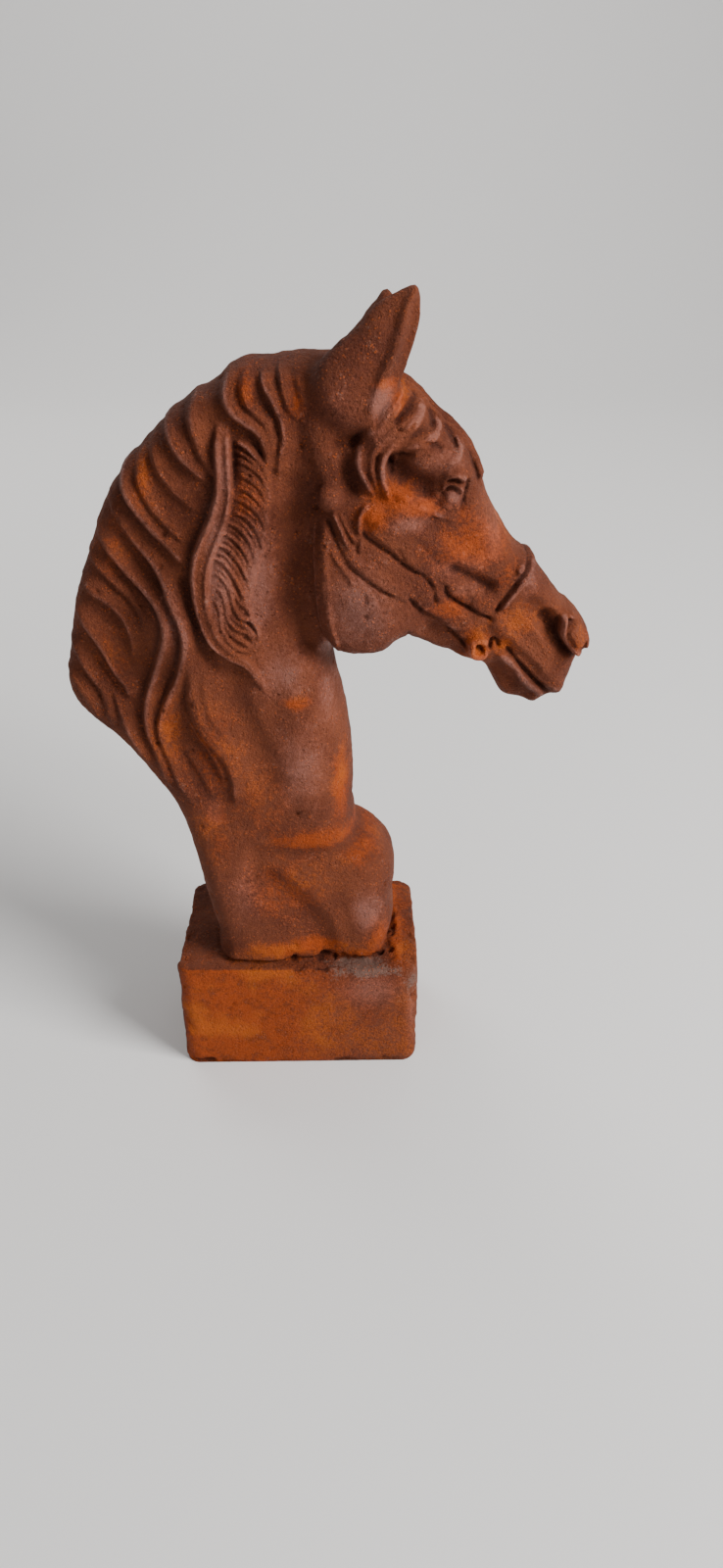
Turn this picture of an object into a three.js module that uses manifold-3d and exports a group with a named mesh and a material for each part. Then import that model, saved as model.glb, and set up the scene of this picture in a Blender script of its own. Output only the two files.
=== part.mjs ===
// A horse's head and neck, carved in low soft forms, standing on a plain rectangular block.
// Everything is one casting. Millimetres, +X is the way the horse looks, +Z is up, and the
// origin is the centre of the block's underside. The object is drawn on its long vertical
// plane, where an outline and a half thickness are known at each point, and both sides are
// rounded over from there.
import * as THREE from "three";
import Module from "manifold-3d";

// Driving dimensions
const BLOCK_LENGTH = 135;
const BLOCK_SKEW = 3;
const BLOCK_DEPTH = 86;
const BLOCK_HEIGHT = 72;
const BLOCK_CORNER = 9;
const BLOCK_EDGE = 2.5;
const BUST_HEIGHT = 359.5;
const BUST_SINK = 5;
const SAMPLE = 2.25;
const TRIANGLES = 9300;
const SECTION_POWER = 2.4;
const JOIN_SOFTNESS = 3;
const FAR_SIDE_RELIEF = 0.75;
const EAR_SPREAD = 21;
const EAR_ROOT = 388;
const EAR_ROOT_HALF = 9.6;
const EAR_TIP_HALF = 2.6;
const EAR_THINNING = 0.14;
const EAR_LEAN = 0.1;
const EAR_ROUNDING = 8;
const MANE_DEPTH = 5;
const FORELOCK_DEPTH = 3.8;
const CREST_SCALLOPS = 13;
const SCALLOP_DEPTH = 2.2;

// The bust keeps its proportions as shares of its own height. Its outlines and forms were drawn
// from these two levels, and are scaled to the height and stood on the block at the end.
const DRAWN_FOOT = 72;
const DRAWN_TOP = 431.5;
const BUST_SCALE = BUST_HEIGHT / (DRAWN_TOP - DRAWN_FOOT);
const DRAWN_SINK = DRAWN_FOOT - BUST_SINK / BUST_SCALE;

// Outlines on the middle plane as [x, z], each a smooth closed curve.
const NECK_OUTLINE = [
  [28, 397], [12, 400], [-5, 398], [-19, 397], [-31, 388], [-45, 380], [-56, 370],
  [-66, 360], [-77, 348], [-88, 332], [-95, 315], [-101, 300], [-107, 285], [-111, 268],
  [-115, 250], [-117, 236], [-113, 225], [-104, 215], [-94, 206], [-80, 188], [-69, 171],
  [-62, 152], [-57, 133], [-53, 110], [-48, 86], [-44, 62], [0, 60], [48, 62], [51, 78],
  [54, 92], [52.5, 105], [54.5, 116], [52.5, 129], [44, 139.5], [34.5, 147.5], [30.5, 160],
  [31, 180], [29.5, 207], [26, 230], [21, 252], [22, 275], [40, 330], [42, 385],
];
const HEAD_OUTLINE = [
  [20, 398], [45, 393], [58, 385.5], [71, 372.5], [79, 366], [86, 357], [92, 346], [97, 332.5],
  [103, 322], [112, 310], [117, 306.8], [122.5, 304], [124.6, 299], [128, 293], [139, 278],
  [146.5, 269.5], [150.5, 262], [150.4, 256], [146.8, 251], [145, 245], [142.6, 237],
  [139.5, 230.5], [132, 228], [126, 223.5], [118, 226.5], [109, 229], [103, 239], [97.5, 247.5],
  [88, 251], [75, 256.5], [63, 263], [56, 265], [48, 259.5], [37, 258], [23, 260], [14.5, 275],
  [11, 297], [11, 318], [12, 336], [6, 360], [4, 385],
];
const NEAR_EAR_OUTLINE = [
  [15, 383], [16, 398], [24, 407], [33, 414], [41, 423.5], [50, 428.5], [58.5, 431.5],
  [60.5, 424], [59, 412], [55, 399], [50, 386], [42, 374], [28, 372],
];
const FAR_EAR_OUTLINE = [
  [15, 380], [20, 392], [29, 402], [36, 409.5], [42, 417], [47.5, 422.5], [51.5, 418],
  [52.5, 408], [51, 396], [48, 384], [42, 374], [28, 372],
];

// Half thickness and edge rounding as [x, z, half thickness, rounding].
const NECK_FORM = [
  [0, 390, 22, 20], [-25, 380, 20, 16], [-60, 350, 18, 14], [-92, 310, 15, 14],
  [-108, 245, 15, 14], [-30, 340, 27, 18], [0, 312, 26, 20], [4, 275, 27, 22],
  [-32, 280, 31, 20], [-75, 225, 21, 16], [10, 220, 29, 27], [-25, 215, 32, 24],
  [-52, 180, 27, 18], [0, 170, 32, 26], [20, 172, 29, 22], [0, 140, 33, 18],
  [-38, 110, 36, 14], [12, 110, 36, 14], [43, 92, 34, 14], [43, 130, 27, 17],
  [-36, 74, 36, 12], [0, 74, 37, 12], [42, 74, 35, 12],
];
const HEAD_FORM = [
  [15, 385, 25, 14], [45, 362, 28, 14], [72, 355, 31, 16], [86, 350, 27, 16],
  [86, 335, 26, 14], [42, 335, 35, 12], [38, 300, 38, 12], [35, 273, 34, 12],
  [62, 303, 33, 12], [70, 318, 30, 14], [97, 322, 20, 13], [92, 303, 24, 12],
  [75, 276, 22, 11], [92, 265, 20, 10], [112, 298, 20, 12], [125, 280, 19, 12],
  [140, 270, 19, 11], [125, 255, 20, 12], [140, 243, 16, 10], [118, 236, 14, 9],
  [15, 300, 35, 9], [25, 350, 29, 12],
];

// Locks of the mane: the crest of each lock from the neck's ridge to its tip, how far it falls
// off to the front, and its rise as a share of the mane's depth.
const MANE_LOCKS = [
  {
    path: [[-38, 387], [-42, 378], [-41.5, 371], [-39, 363], [-35, 355], [-31, 349]],
    reach: 7,
    rise: 0.7,
  },
  {
    path: [[-49, 380], [-54, 373], [-52, 366], [-48, 359], [-42, 353], [-35, 347]],
    reach: 7.5,
    rise: 0.8,
  },
  {
    path: [[-57, 372], [-61, 362], [-59, 353], [-54, 345], [-47, 338], [-40, 333]],
    reach: 6,
    rise: 0.5,
  },
  {
    path: [[-63, 366], [-68, 354], [-67, 343], [-62, 333], [-55, 325], [-47, 317]],
    reach: 6,
    rise: 0.6,
  },
  {
    path: [[-70, 361], [-76, 350], [-75, 341], [-70, 332], [-63, 323], [-55, 315], [-47, 307]],
    reach: 8,
    rise: 1,
  },
  {
    path: [[-80, 350], [-84, 340], [-81, 331], [-74, 323], [-67, 316], [-61, 309]],
    reach: 6,
    rise: 0.4,
  },
  {
    path: [[-84, 342], [-72, 316], [-61, 301], [-53.5, 283], [-52, 266], [-57.5, 247], [-66, 229],
    [-68, 211], [-62, 193], [-52, 168]],
    reach: 8,
    rise: 1.1,
  },
  {
    path: [[-93, 331], [-87, 314], [-76, 299], [-63.5, 286], [-62, 269], [-68.5, 250], [-74.5, 232],
    [-74.5, 214], [-69.5, 199], [-63, 178]],
    reach: 8,
    rise: 1.1,
  },
  {
    path: [[-100, 314], [-93, 304], [-86, 296], [-79, 289], [-74, 283], [-71.5, 276], [-72, 268]],
    reach: 6,
    rise: 0.5,
  },
  {
    path: [[-104, 300], [-98, 291], [-92, 287], [-86, 282], [-81, 274], [-79, 265], [-80, 255]],
    reach: 7,
    rise: 0.7,
  },
  {
    path: [[-108, 285], [-104, 277], [-100, 270], [-96, 264], [-92, 256], [-88.5, 248], [-84, 241],
    [-83, 232]],
    reach: 8,
    rise: 1,
  },
  {
    path: [[-113, 266], [-109, 259], [-105, 251], [-101, 244], [-97, 237], [-95, 228], [-94.5, 218]],
    reach: 6.5,
    rise: 0.6,
  },
  {
    path: [[-91, 240], [-89, 229], [-87, 220], [-84, 211], [-80, 203], [-75, 196]],
    reach: 7,
    rise: 0.7,
  },
  {
    path: [[-116, 250], [-113, 243], [-108, 236], [-104, 228], [-101, 219]],
    reach: 6,
    rise: 0.5,
  },
  {
    path: [[-49, 270], [-50.5, 247], [-48.5, 226], [-38, 209], [-32, 192], [-33, 172]],
    reach: 9.1,
    rise: 0.9,
  },
  {
    path: [[-58, 232], [-53, 224], [-48, 215.5], [-43, 208], [-39.5, 200], [-37.5, 191], [-37, 183]],
    reach: 3.6,
    rise: 0.6,
  },
  {
    path: [[-22, 397], [-26, 384], [-17, 373.5], [-8.5, 363], [-7, 350]],
    reach: 7,
    rise: 1,
  },
  {
    path: [[-14, 398], [-17.5, 390], [-16.5, 383], [-13, 378], [-8, 373], [-5.5, 367], [-5, 360],
    [-5.2, 353]],
    reach: 5.5,
    rise: 0.7,
  },
  {
    path: [[-8, 398], [-8.5, 391], [-5.5, 385], [-2.5, 379], [-0.5, 373], [0, 366], [-2, 358],
    [-3, 349]],
    reach: 6,
    rise: 0.9,
  },
  {
    path: [[-1, 399], [0, 390], [1.5, 384], [4, 379], [7, 374]],
    reach: 6,
    rise: 0.7,
  },
  {
    path: [[5, 400], [7, 391], [9, 383], [11, 377]],
    reach: 6,
    rise: 0.4,
  },
];
// The plaited lock in the middle of the mane, and the strands that leave it to the front.
const PLAIT = [
  [-27.5, 373], [-27.8, 350], [-31, 332], [-39.5, 313], [-41.8, 293], [-38, 274], [-28, 262.5],
    [-18, 253], [-12, 239],
];
const PLAIT_HALF = [3.6, 4.6, 5.6, 5, 4.2, 3.4, 2];
const FEATHER_BED = [[-16, 364], [-17, 338], [-26, 312], [-30, 288], [-24, 266]];
const FEATHER = [
  [[-23, 366], [-17, 363], [-12, 358], [-8, 352], [-6, 345]],
  [[-23, 352], [-17, 350], [-12, 346], [-9, 340], [-7, 332]],
  [[-25, 341], [-18, 339], [-13, 334], [-10, 327], [-10, 318]],
  [[-30, 330], [-23, 328], [-18, 322], [-15, 313], [-14, 303]],
  [[-36, 319], [-29, 318], [-23, 311], [-19, 301], [-18, 290]],
  [[-38, 305], [-28, 298], [-23, 283], [-15.5, 274], [-16, 267]],
  [[-36, 295], [-33, 280], [-26, 267], [-20, 263]],
];
const FORELOCK = [
  [[56, 389], [44, 376], [34, 361], [38, 348], [41.5, 341]],
  [[59, 379], [47, 369.5], [39.6, 358], [43.6, 343.5]],
  [[58, 371], [47, 363], [44.6, 351], [48.4, 340]],
  [[62, 383], [56, 379.5], [51, 375]],
  [[66, 377], [60, 371.5], [54, 367.5]],
  [[59, 387], [65, 380], [70, 373.6], [72, 368]],
  [[74, 371], [82, 362.6], [87, 354.6], [90, 348]],
  [[83, 361], [89, 353], [92.4, 347], [94.6, 342]],
];

// Raised strokes and hollows of the face and chest: points, half width, height.
const FACE_RIDGES = [
  { path: [[60, 359], [70, 360], [78, 357], [86, 351]], half: 9, height: 3.4 },
  { path: [[40, 335], [46, 332], [54, 336], [62, 334]], half: 7, height: 2.4 },
  { path: [[48, 347], [56, 341.5], [64, 337], [72, 332]], half: 3.4, height: 1.6 },
  { path: [[52, 331], [60, 325], [74, 316], [88, 308]], half: 8, height: 2 },
  { path: [[76, 343], [77, 340]], half: 5.4, height: 2.4 },
  { path: [[70, 334], [78, 330]], half: 3, height: 1.2 },
  { path: [[23, 349], [22.5, 341]], half: 6.5, height: 4.4 },
  { path: [[15, 358], [14, 352]], half: 5, height: 2.4 },
  { path: [[20, 312], [34, 292], [50, 280]], half: 16, height: 1.5 },
  { path: [[103, 275], [112, 264], [122, 254], [132, 243], [137, 235]], half: 6, height: 2.2 },
  { path: [[108, 287], [118, 290]], half: 8, height: 1 },
  { path: [[16, 334], [16, 302], [23, 256]], half: 4.5, height: 2 },
  { path: [[74, 347], [78, 349], [83, 346]], half: 3, height: 2.4 },
  { path: [[103, 257], [116, 246.5], [129, 230]], half: 3.6, height: 2.8 },
  { path: [[137, 276], [137, 267], [143, 258], [148, 255]], half: 3.6, height: 3.4 },
  { path: [[140, 276], [149, 267], [150, 257]], half: 4, height: 3.6 },
  { path: [[119, 304], [108, 289], [103, 281]], half: 4, height: 2 },
  { path: [[74, 302], [88, 291], [101, 280]], half: 5, height: 1.8 },
  { path: [[66, 292], [78, 281], [90, 271]], half: 7, height: 2.4 },
  { path: [[93.5, 270], [93, 262], [94, 253]], half: 6.5, height: 5.5 },
];
const FACE_HOLLOWS = [
  { path: [[53, 356], [57, 350], [63, 346]], half: 9, height: -4.4 },
  { path: [[27, 364], [34, 367]], half: 8, height: -5 },
  { path: [[28, 356], [31, 346]], half: 6, height: -4 },
  { path: [[80, 303], [88, 298], [97, 293]], half: 6, height: -3 },
  { path: [[128, 274], [132, 268], [137, 260]], half: 6.5, height: -5.2 },
  { path: [[120, 282], [130, 272]], half: 8, height: -2.4 },
  { path: [[86, 346], [84, 338]], half: 4.5, height: -1.6 },
  { path: [[66, 341], [71, 338]], half: 4, height: -1.6 },
  { path: [[108, 264], [116, 256], [124, 248]], half: 4.5, height: -1.4 },
  { path: [[70, 272], [82, 260]], half: 8, height: -3.2 },
  { path: [[104, 250], [112, 240], [120, 232]], half: 6, height: -2.2 },
  { path: [[28, 336], [36, 326], [53, 311.5], [69, 298], [71, 290]], half: 2.8, height: -2.4 },
  { path: [[75, 297], [80, 288.5], [99, 276.5]], half: 2.8, height: -2.6 },
  { path: [[58, 292], [70, 280.5], [88, 262]], half: 3, height: -2.8 },
  { path: [[115, 304], [106, 290], [101, 281]], half: 2.6, height: -2.4 },
  { path: [[110, 259], [120, 246], [134, 231]], half: 3.2, height: -3.8 },
  { path: [[20, 331], [30, 311], [49, 295]], half: 2.8, height: -1.8 },
  { path: [[134, 274], [136, 262], [146, 253]], half: 3.2, height: -2.8 },
];
const BODY_RIDGES = [
  { path: [[-42, 150], [-30, 118], [-22, 84]], half: 20, height: 2.2 },
  { path: [[34, 124], [40, 104], [40, 84]], half: 17, height: 2.6 },
  { path: [[4, 250], [4, 225], [6, 195], [12, 172]], half: 15, height: 2.4 },
  { path: [[-5, 160], [10, 154], [26, 154]], half: 12, height: 1.6 },
];
const BODY_HOLLOWS = [
  { path: [[-24, 132], [-6, 116], [8, 98], [14, 80]], half: 13, height: -4 },
  { path: [[-22, 144], [0, 141], [22, 143], [34, 149]], half: 9, height: -2.6 },
  { path: [[4, 345], [2, 320], [1, 295], [6, 268]], half: 10, height: -4 },
  { path: [[-30, 250], [-28, 232], [-20, 210], [-14, 190]], half: 12, height: -3 },
  { path: [[-49, 300], [-46, 284], [-43, 268], [-38, 256]], half: 5, height: -2.4 },
];

// A smooth curve through the given points, as evenly numbered [x, z] samples.
function smoothPath(points, count, closed = false) {
  const knots = points.map(([x, z]) => new THREE.Vector3(x, 0, z));
  const curve = new THREE.CatmullRomCurve3(knots, closed, "centripetal");
  return curve.getPoints(count).map((p) => [p.x, p.z]);
}

// The middle plane is sampled on a regular grid, one value for each place.
const MARGIN = 3 * SAMPLE;
const ALL_POINTS = [...NECK_OUTLINE, ...HEAD_OUTLINE, ...NEAR_EAR_OUTLINE];
const X_MIN = Math.min(...ALL_POINTS.map((p) => p[0])) - MARGIN;
const X_MAX = Math.max(...ALL_POINTS.map((p) => p[0])) + MARGIN;
const Z_MIN = DRAWN_SINK - MARGIN;
const Z_MAX = Math.max(...ALL_POINTS.map((p) => p[1])) + MARGIN;
const COLUMNS = Math.ceil((X_MAX - X_MIN) / SAMPLE) + 1;
const ROWS = Math.ceil((Z_MAX - Z_MIN) / SAMPLE) + 1;

function makeMap(valueAt) {
  const map = new Float64Array(COLUMNS * ROWS);
  for (let row = 0; row < ROWS; row += 1) {
    for (let column = 0; column < COLUMNS; column += 1) {
      const x = X_MIN + column * SAMPLE;
      const z = Z_MIN + row * SAMPLE;
      map[row * COLUMNS + column] = valueAt(x, z, row * COLUMNS + column);
    }
  }
  return map;
}

// The nearest place on a line of samples: distance, how far along, and which side.
function nearest(samples, x, z) {
  let best = { distance: Infinity, along: 0, side: 1 };
  for (let i = 0; i + 1 < samples.length; i += 1) {
    const [ax, az] = samples[i];
    const [bx, bz] = samples[i + 1];
    const ux = bx - ax;
    const uz = bz - az;
    const length = ux * ux + uz * uz || 1e-9;
    const t = Math.min(1, Math.max(0, ((x - ax) * ux + (z - az) * uz) / length));
    const dx = x - ax - t * ux;
    const dz = z - az - t * uz;
    const distance = Math.hypot(dx, dz);
    if (distance < best.distance) {
      best = { distance, along: (i + t) / (samples.length - 1), side: ux * dz - uz * dx };
    }
  }
  return best;
}

// Signed distance to a closed outline, positive inside.
function insideDistance(outline) {
  const samples = smoothPath(outline, outline.length * 5, true);
  return makeMap((x, z) => {
    let inside = false;
    for (let i = 0; i + 1 < samples.length; i += 1) {
      const [ax, az] = samples[i];
      const [bx, bz] = samples[i + 1];
      if (az > z !== bz > z && x < ax + ((z - az) / (bz - az)) * (bx - ax)) {
        inside = !inside;
      }
    }
    const { distance } = nearest(samples, x, z);
    return inside ? distance : -distance;
  });
}

// A smooth surface through named sizes: each counts most near its own place.
function blendSizes(form, index, reach = 19) {
  return makeMap((x, z) => {
    let sum = 0;
    let total = 0;
    for (const size of form) {
      const apart = (x - size[0]) ** 2 + (z - size[1]) ** 2;
      const weight = Math.exp(-apart / (2 * reach * reach)) + 1e-4 / (1 + apart);
      sum += weight * size[index];
      total += weight;
    }
    return sum / total;
  });
}

// The value at a share of the way along a list of evenly spread values.
function alongList(list, share) {
  const place = share * (list.length - 1);
  const i = Math.min(list.length - 2, Math.floor(place));
  return list[i] + (list[i + 1] - list[i]) * (place - i);
}

// The path moved sideways, to the front for a positive shift.
function beside(path, shift) {
  const line = smoothPath(path, path.length * 4);
  return line.map(([x, z], i) => {
    const [ax, az] = line[Math.max(0, i - 1)];
    const [bx, bz] = line[Math.min(line.length - 1, i + 1)];
    const length = Math.hypot(bx - ax, bz - az);
    return [x - (shift * (bz - az)) / length, z + (shift * (bx - ax)) / length];
  });
}

// Sections that a stroke can lay, from the share of its reach and the side of its path.
const SECTIONS = {
  round: (across) => Math.sqrt(1 - across * across),
  soft: (across) => (1 - across * across) ** 2,
  flat: (across) => Math.min(1, 3 * (1 - across)) ** 0.7,
  // a lock: steep at the back of its crest and falling off slowly to the front
  lock: (across, side) => {
    const steep = Math.min(1, across / 0.4);
    return side < 0 ? (1 - steep) ** 1.3 * (1 + 1.3 * steep) : (1 - across) ** 1.35;
  },
};

// Lays one stroke along a smooth path. Soft strokes add to the map, and the others are joined
// to it at the higher level, tapering to their ends.
function stroke(map, path, half, height, kind, taper = 0.14) {
  const samples = smoothPath(path, Math.max(12, path.length * 6));
  const halves = Array.isArray(half) ? half : [half, half];
  const widest = Math.max(...halves);
  const xs = samples.map((p) => p[0]);
  const zs = samples.map((p) => p[1]);
  const left = Math.floor((Math.min(...xs) - widest - X_MIN) / SAMPLE);
  const right = Math.ceil((Math.max(...xs) + widest - X_MIN) / SAMPLE);
  const bottom = Math.floor((Math.min(...zs) - widest - Z_MIN) / SAMPLE);
  const top = Math.ceil((Math.max(...zs) + widest - Z_MIN) / SAMPLE);
  for (let row = Math.max(0, bottom); row <= Math.min(ROWS - 1, top); row += 1) {
    for (let column = Math.max(0, left); column <= Math.min(COLUMNS - 1, right); column += 1) {
      const x = X_MIN + column * SAMPLE;
      const z = Z_MIN + row * SAMPLE;
      const { distance, along, side } = nearest(samples, x, z);
      const share = Math.min(1, Math.min(along, 1 - along) / taper);
      const end = kind === "soft" ? 1 : share * share * (3 - 2 * share);
      const reach = alongList(halves, along) * (0.35 + 0.65 * end);
      if (distance >= reach) {
        continue;
      }
      const level = height * (0.25 + 0.75 * end) * SECTIONS[kind](distance / reach, side);
      const place = row * COLUMNS + column;
      map[place] = kind === "soft" ? map[place] + level : Math.max(map[place], level);
    }
  }
}

// The relief of the mane and chest that lies over the plain form.
function carve() {
  const ground = makeMap(() => 0);
  for (const { path, half, height } of [...BODY_RIDGES, ...BODY_HOLLOWS]) {
    stroke(ground, path, half, height, "soft");
  }
  const hair = makeMap(() => 0);
  for (const { path, reach, rise } of MANE_LOCKS) {
    stroke(hair, path, reach, rise * MANE_DEPTH, "lock", 0.1);
  }
  stroke(hair, FEATHER_BED, [6, 10, 12, 12, 7], 0.5 * MANE_DEPTH, "flat", 0.1);
  for (const path of FEATHER) {
    stroke(hair, path, 3.2, 0.95 * MANE_DEPTH, "round");
  }
  stroke(hair, PLAIT, PLAIT_HALF, 0.8 * MANE_DEPTH, "flat", 0.08);
  for (const shift of [-0.6, 0.6]) {
    stroke(hair, beside(PLAIT, shift * PLAIT_HALF[1]), 2.6, 1.2 * MANE_DEPTH, "round", 0.1);
  }
  return ground.map((value, place) => value + hair[place]);
}

function carveHead() {
  const relief = makeMap(() => 0);
  for (const { path, half, height } of [...FACE_RIDGES, ...FACE_HOLLOWS]) {
    stroke(relief, path, half, height, "soft");
  }
  const hair = makeMap(() => 0);
  for (const path of FORELOCK) {
    stroke(hair, path, 3, FORELOCK_DEPTH, "round");
  }
  return relief.map((value, place) => value + hair[place]);
}

// Scallops that the ends of the locks make along the crest, from the poll to the tail.
function scallops() {
  const crest = smoothPath(NECK_OUTLINE.slice(3, 18), 120);
  return makeMap((x, z) => {
    const { distance, along } = nearest(crest, x, z);
    const wave = Math.abs(Math.sin(Math.PI * CREST_SCALLOPS * along)) - 0.6;
    return distance < 14 ? SCALLOP_DEPTH * wave * (1 - distance / 14) : 0;
  });
}

// One rounded slab: zero on its surface, negative inside, in millimetres near the surface.
function slab(distance, half, round, y) {
  const out = Math.max(0, 1 - distance / round);
  const level = (out ** SECTION_POWER + (Math.abs(y) / half) ** SECTION_POWER) ** (1 / SECTION_POWER);
  return (level - 1) * Math.min(half, round);
}

function softUnion(a, b, softness) {
  const mix = Math.max(0, softness - Math.abs(a - b));
  return Math.min(a, b) - (mix * mix) / (4 * softness);
}

// The whole bust as one field over space.
function bustField() {
  const neckDistance = insideDistance(NECK_OUTLINE);
  const headDistance = insideDistance(HEAD_OUTLINE);
  const nearEar = insideDistance(NEAR_EAR_OUTLINE);
  const farEar = insideDistance(FAR_EAR_OUTLINE);
  const neckHalf = blendSizes(NECK_FORM, 2);
  const neckRound = blendSizes(NECK_FORM, 3);
  const headHalf = blendSizes(HEAD_FORM, 2, 14);
  const headRound = blendSizes(HEAD_FORM, 3, 14);
  const neckRelief = carve();
  const headRelief = carveHead();
  const edge = scallops();
  return (place, y, z) => {
    const near = y < 0 ? 1 : FAR_SIDE_RELIEF;
    const lock = neckRelief[place] * near;
    const mark = headRelief[place] * near;
    const neck = slab(
      neckDistance[place] + edge[place] + 0.5 * lock,
      neckHalf[place] + lock,
      neckRound[place],
      y,
    );
    const head = slab(
      headDistance[place] + 0.4 * mark,
      headHalf[place] + mark,
      headRound[place],
      y,
    );
    const lean = EAR_LEAN * (z - EAR_ROOT);
    const earHalf = Math.max(EAR_TIP_HALF, EAR_ROOT_HALF - EAR_THINNING * (z - EAR_ROOT));
    const earLeft = slab(nearEar[place], earHalf, EAR_ROUNDING, y + EAR_SPREAD + lean);
    const earRight = slab(farEar[place], earHalf, EAR_ROUNDING, y - EAR_SPREAD - lean);
    const body = softUnion(neck, head, JOIN_SOFTNESS);
    const withEars = softUnion(body, Math.min(earLeft, earRight), 2 * JOIN_SOFTNESS);
    return Math.max(withEars, DRAWN_SINK - z);
  };
}

// Field values on a block of places; a place where two skins would only touch is filled.
function sampleField(field, layers, yMin) {
  const values = new Float64Array(COLUMNS * ROWS * layers);
  for (let layer = 0; layer < layers; layer += 1) {
    const y = yMin + layer * SAMPLE;
    for (let place = 0; place < COLUMNS * ROWS; place += 1) {
      const z = Z_MIN + Math.floor(place / COLUMNS) * SAMPLE;
      values[layer * COLUMNS * ROWS + place] = field(place, y, z);
    }
  }
  const steps = [1, COLUMNS, COLUMNS * ROWS];
  const pairs = [[0, 1], [0, 2], [1, 2]];
  let changed = true;
  while (changed) {
    changed = false;
    for (const [p, q] of pairs) {
      const a = steps[p];
      const b = steps[q];
      for (let i = 0; i + a + b < values.length; i += 1) {
        const here = values[i] < 0;
        const next = values[i + a] < 0;
        const above = values[i + b] < 0;
        const corner = values[i + a + b] < 0;
        if (here === corner && next === above && here !== next) {
          const low = here ? [i + a, i + b] : [i, i + a + b];
          const fill = Math.abs(values[low[0]]) < Math.abs(values[low[1]]) ? low[0] : low[1];
          values[fill] = -0.05 * SAMPLE;
          changed = true;
        }
      }
    }
  }
  return values;
}

// A closed skin of four-sided faces around the places where the field is negative.
function skin(values, layers, yMin) {
  const plane = COLUMNS * ROWS;
  const cellVertex = new Map();
  const vertices = [];
  const corners = [];
  for (let k = 0; k < 8; k += 1) {
    corners.push([k & 1, (k >> 1) & 1, (k >> 2) & 1]);
  }
  const edges = [];
  for (let i = 0; i < 8; i += 1) {
    for (const bit of [1, 2, 4]) {
      if (!(i & bit)) {
        edges.push([i, i | bit]);
      }
    }
  }
  const offset = corners.map(([cx, cz, cy]) => cx + cz * COLUMNS + cy * plane);
  const vertexOf = (cell) => {
    const known = cellVertex.get(cell);
    if (known !== undefined) {
      return known;
    }
    let count = 0;
    const sum = [0, 0, 0];
    for (const [i, j] of edges) {
      const a = values[cell + offset[i]];
      const b = values[cell + offset[j]];
      if (a < 0 !== b < 0) {
        const t = a / (a - b);
        for (let axis = 0; axis < 3; axis += 1) {
          sum[axis] += corners[i][axis] + t * (corners[j][axis] - corners[i][axis]);
        }
        count += 1;
      }
    }
    const layer = Math.floor(cell / plane);
    const row = Math.floor((cell % plane) / COLUMNS);
    const column = cell % COLUMNS;
    const x = X_MIN + (column + sum[0] / count) * SAMPLE;
    const z = Z_MIN + (row + sum[1] / count) * SAMPLE;
    const y = yMin + (layer + sum[2] / count) * SAMPLE;
    vertices.push([x, y, z]);
    cellVertex.set(cell, vertices.length - 1);
    return vertices.length - 1;
  };
  const faces = [];
  const steps = [1, COLUMNS, plane];
  for (let layer = 1; layer + 1 < layers; layer += 1) {
    for (let row = 1; row + 1 < ROWS; row += 1) {
      for (let column = 1; column + 1 < COLUMNS; column += 1) {
        const place = layer * plane + row * COLUMNS + column;
        for (let axis = 0; axis < 3; axis += 1) {
          const inside = values[place] < 0;
          if (inside === values[place + steps[axis]] < 0) {
            continue;
          }
          const u = steps[(axis + 1) % 3];
          const v = steps[(axis + 2) % 3];
          const loop = [place - u - v, place - v, place, place - u].map(vertexOf);
          if (inside) {
            loop.reverse();
          }
          faces.push([loop[0], loop[1], loop[2]], [loop[0], loop[2], loop[3]]);
        }
      }
    }
  }
  return { vertices, faces };
}

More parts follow.
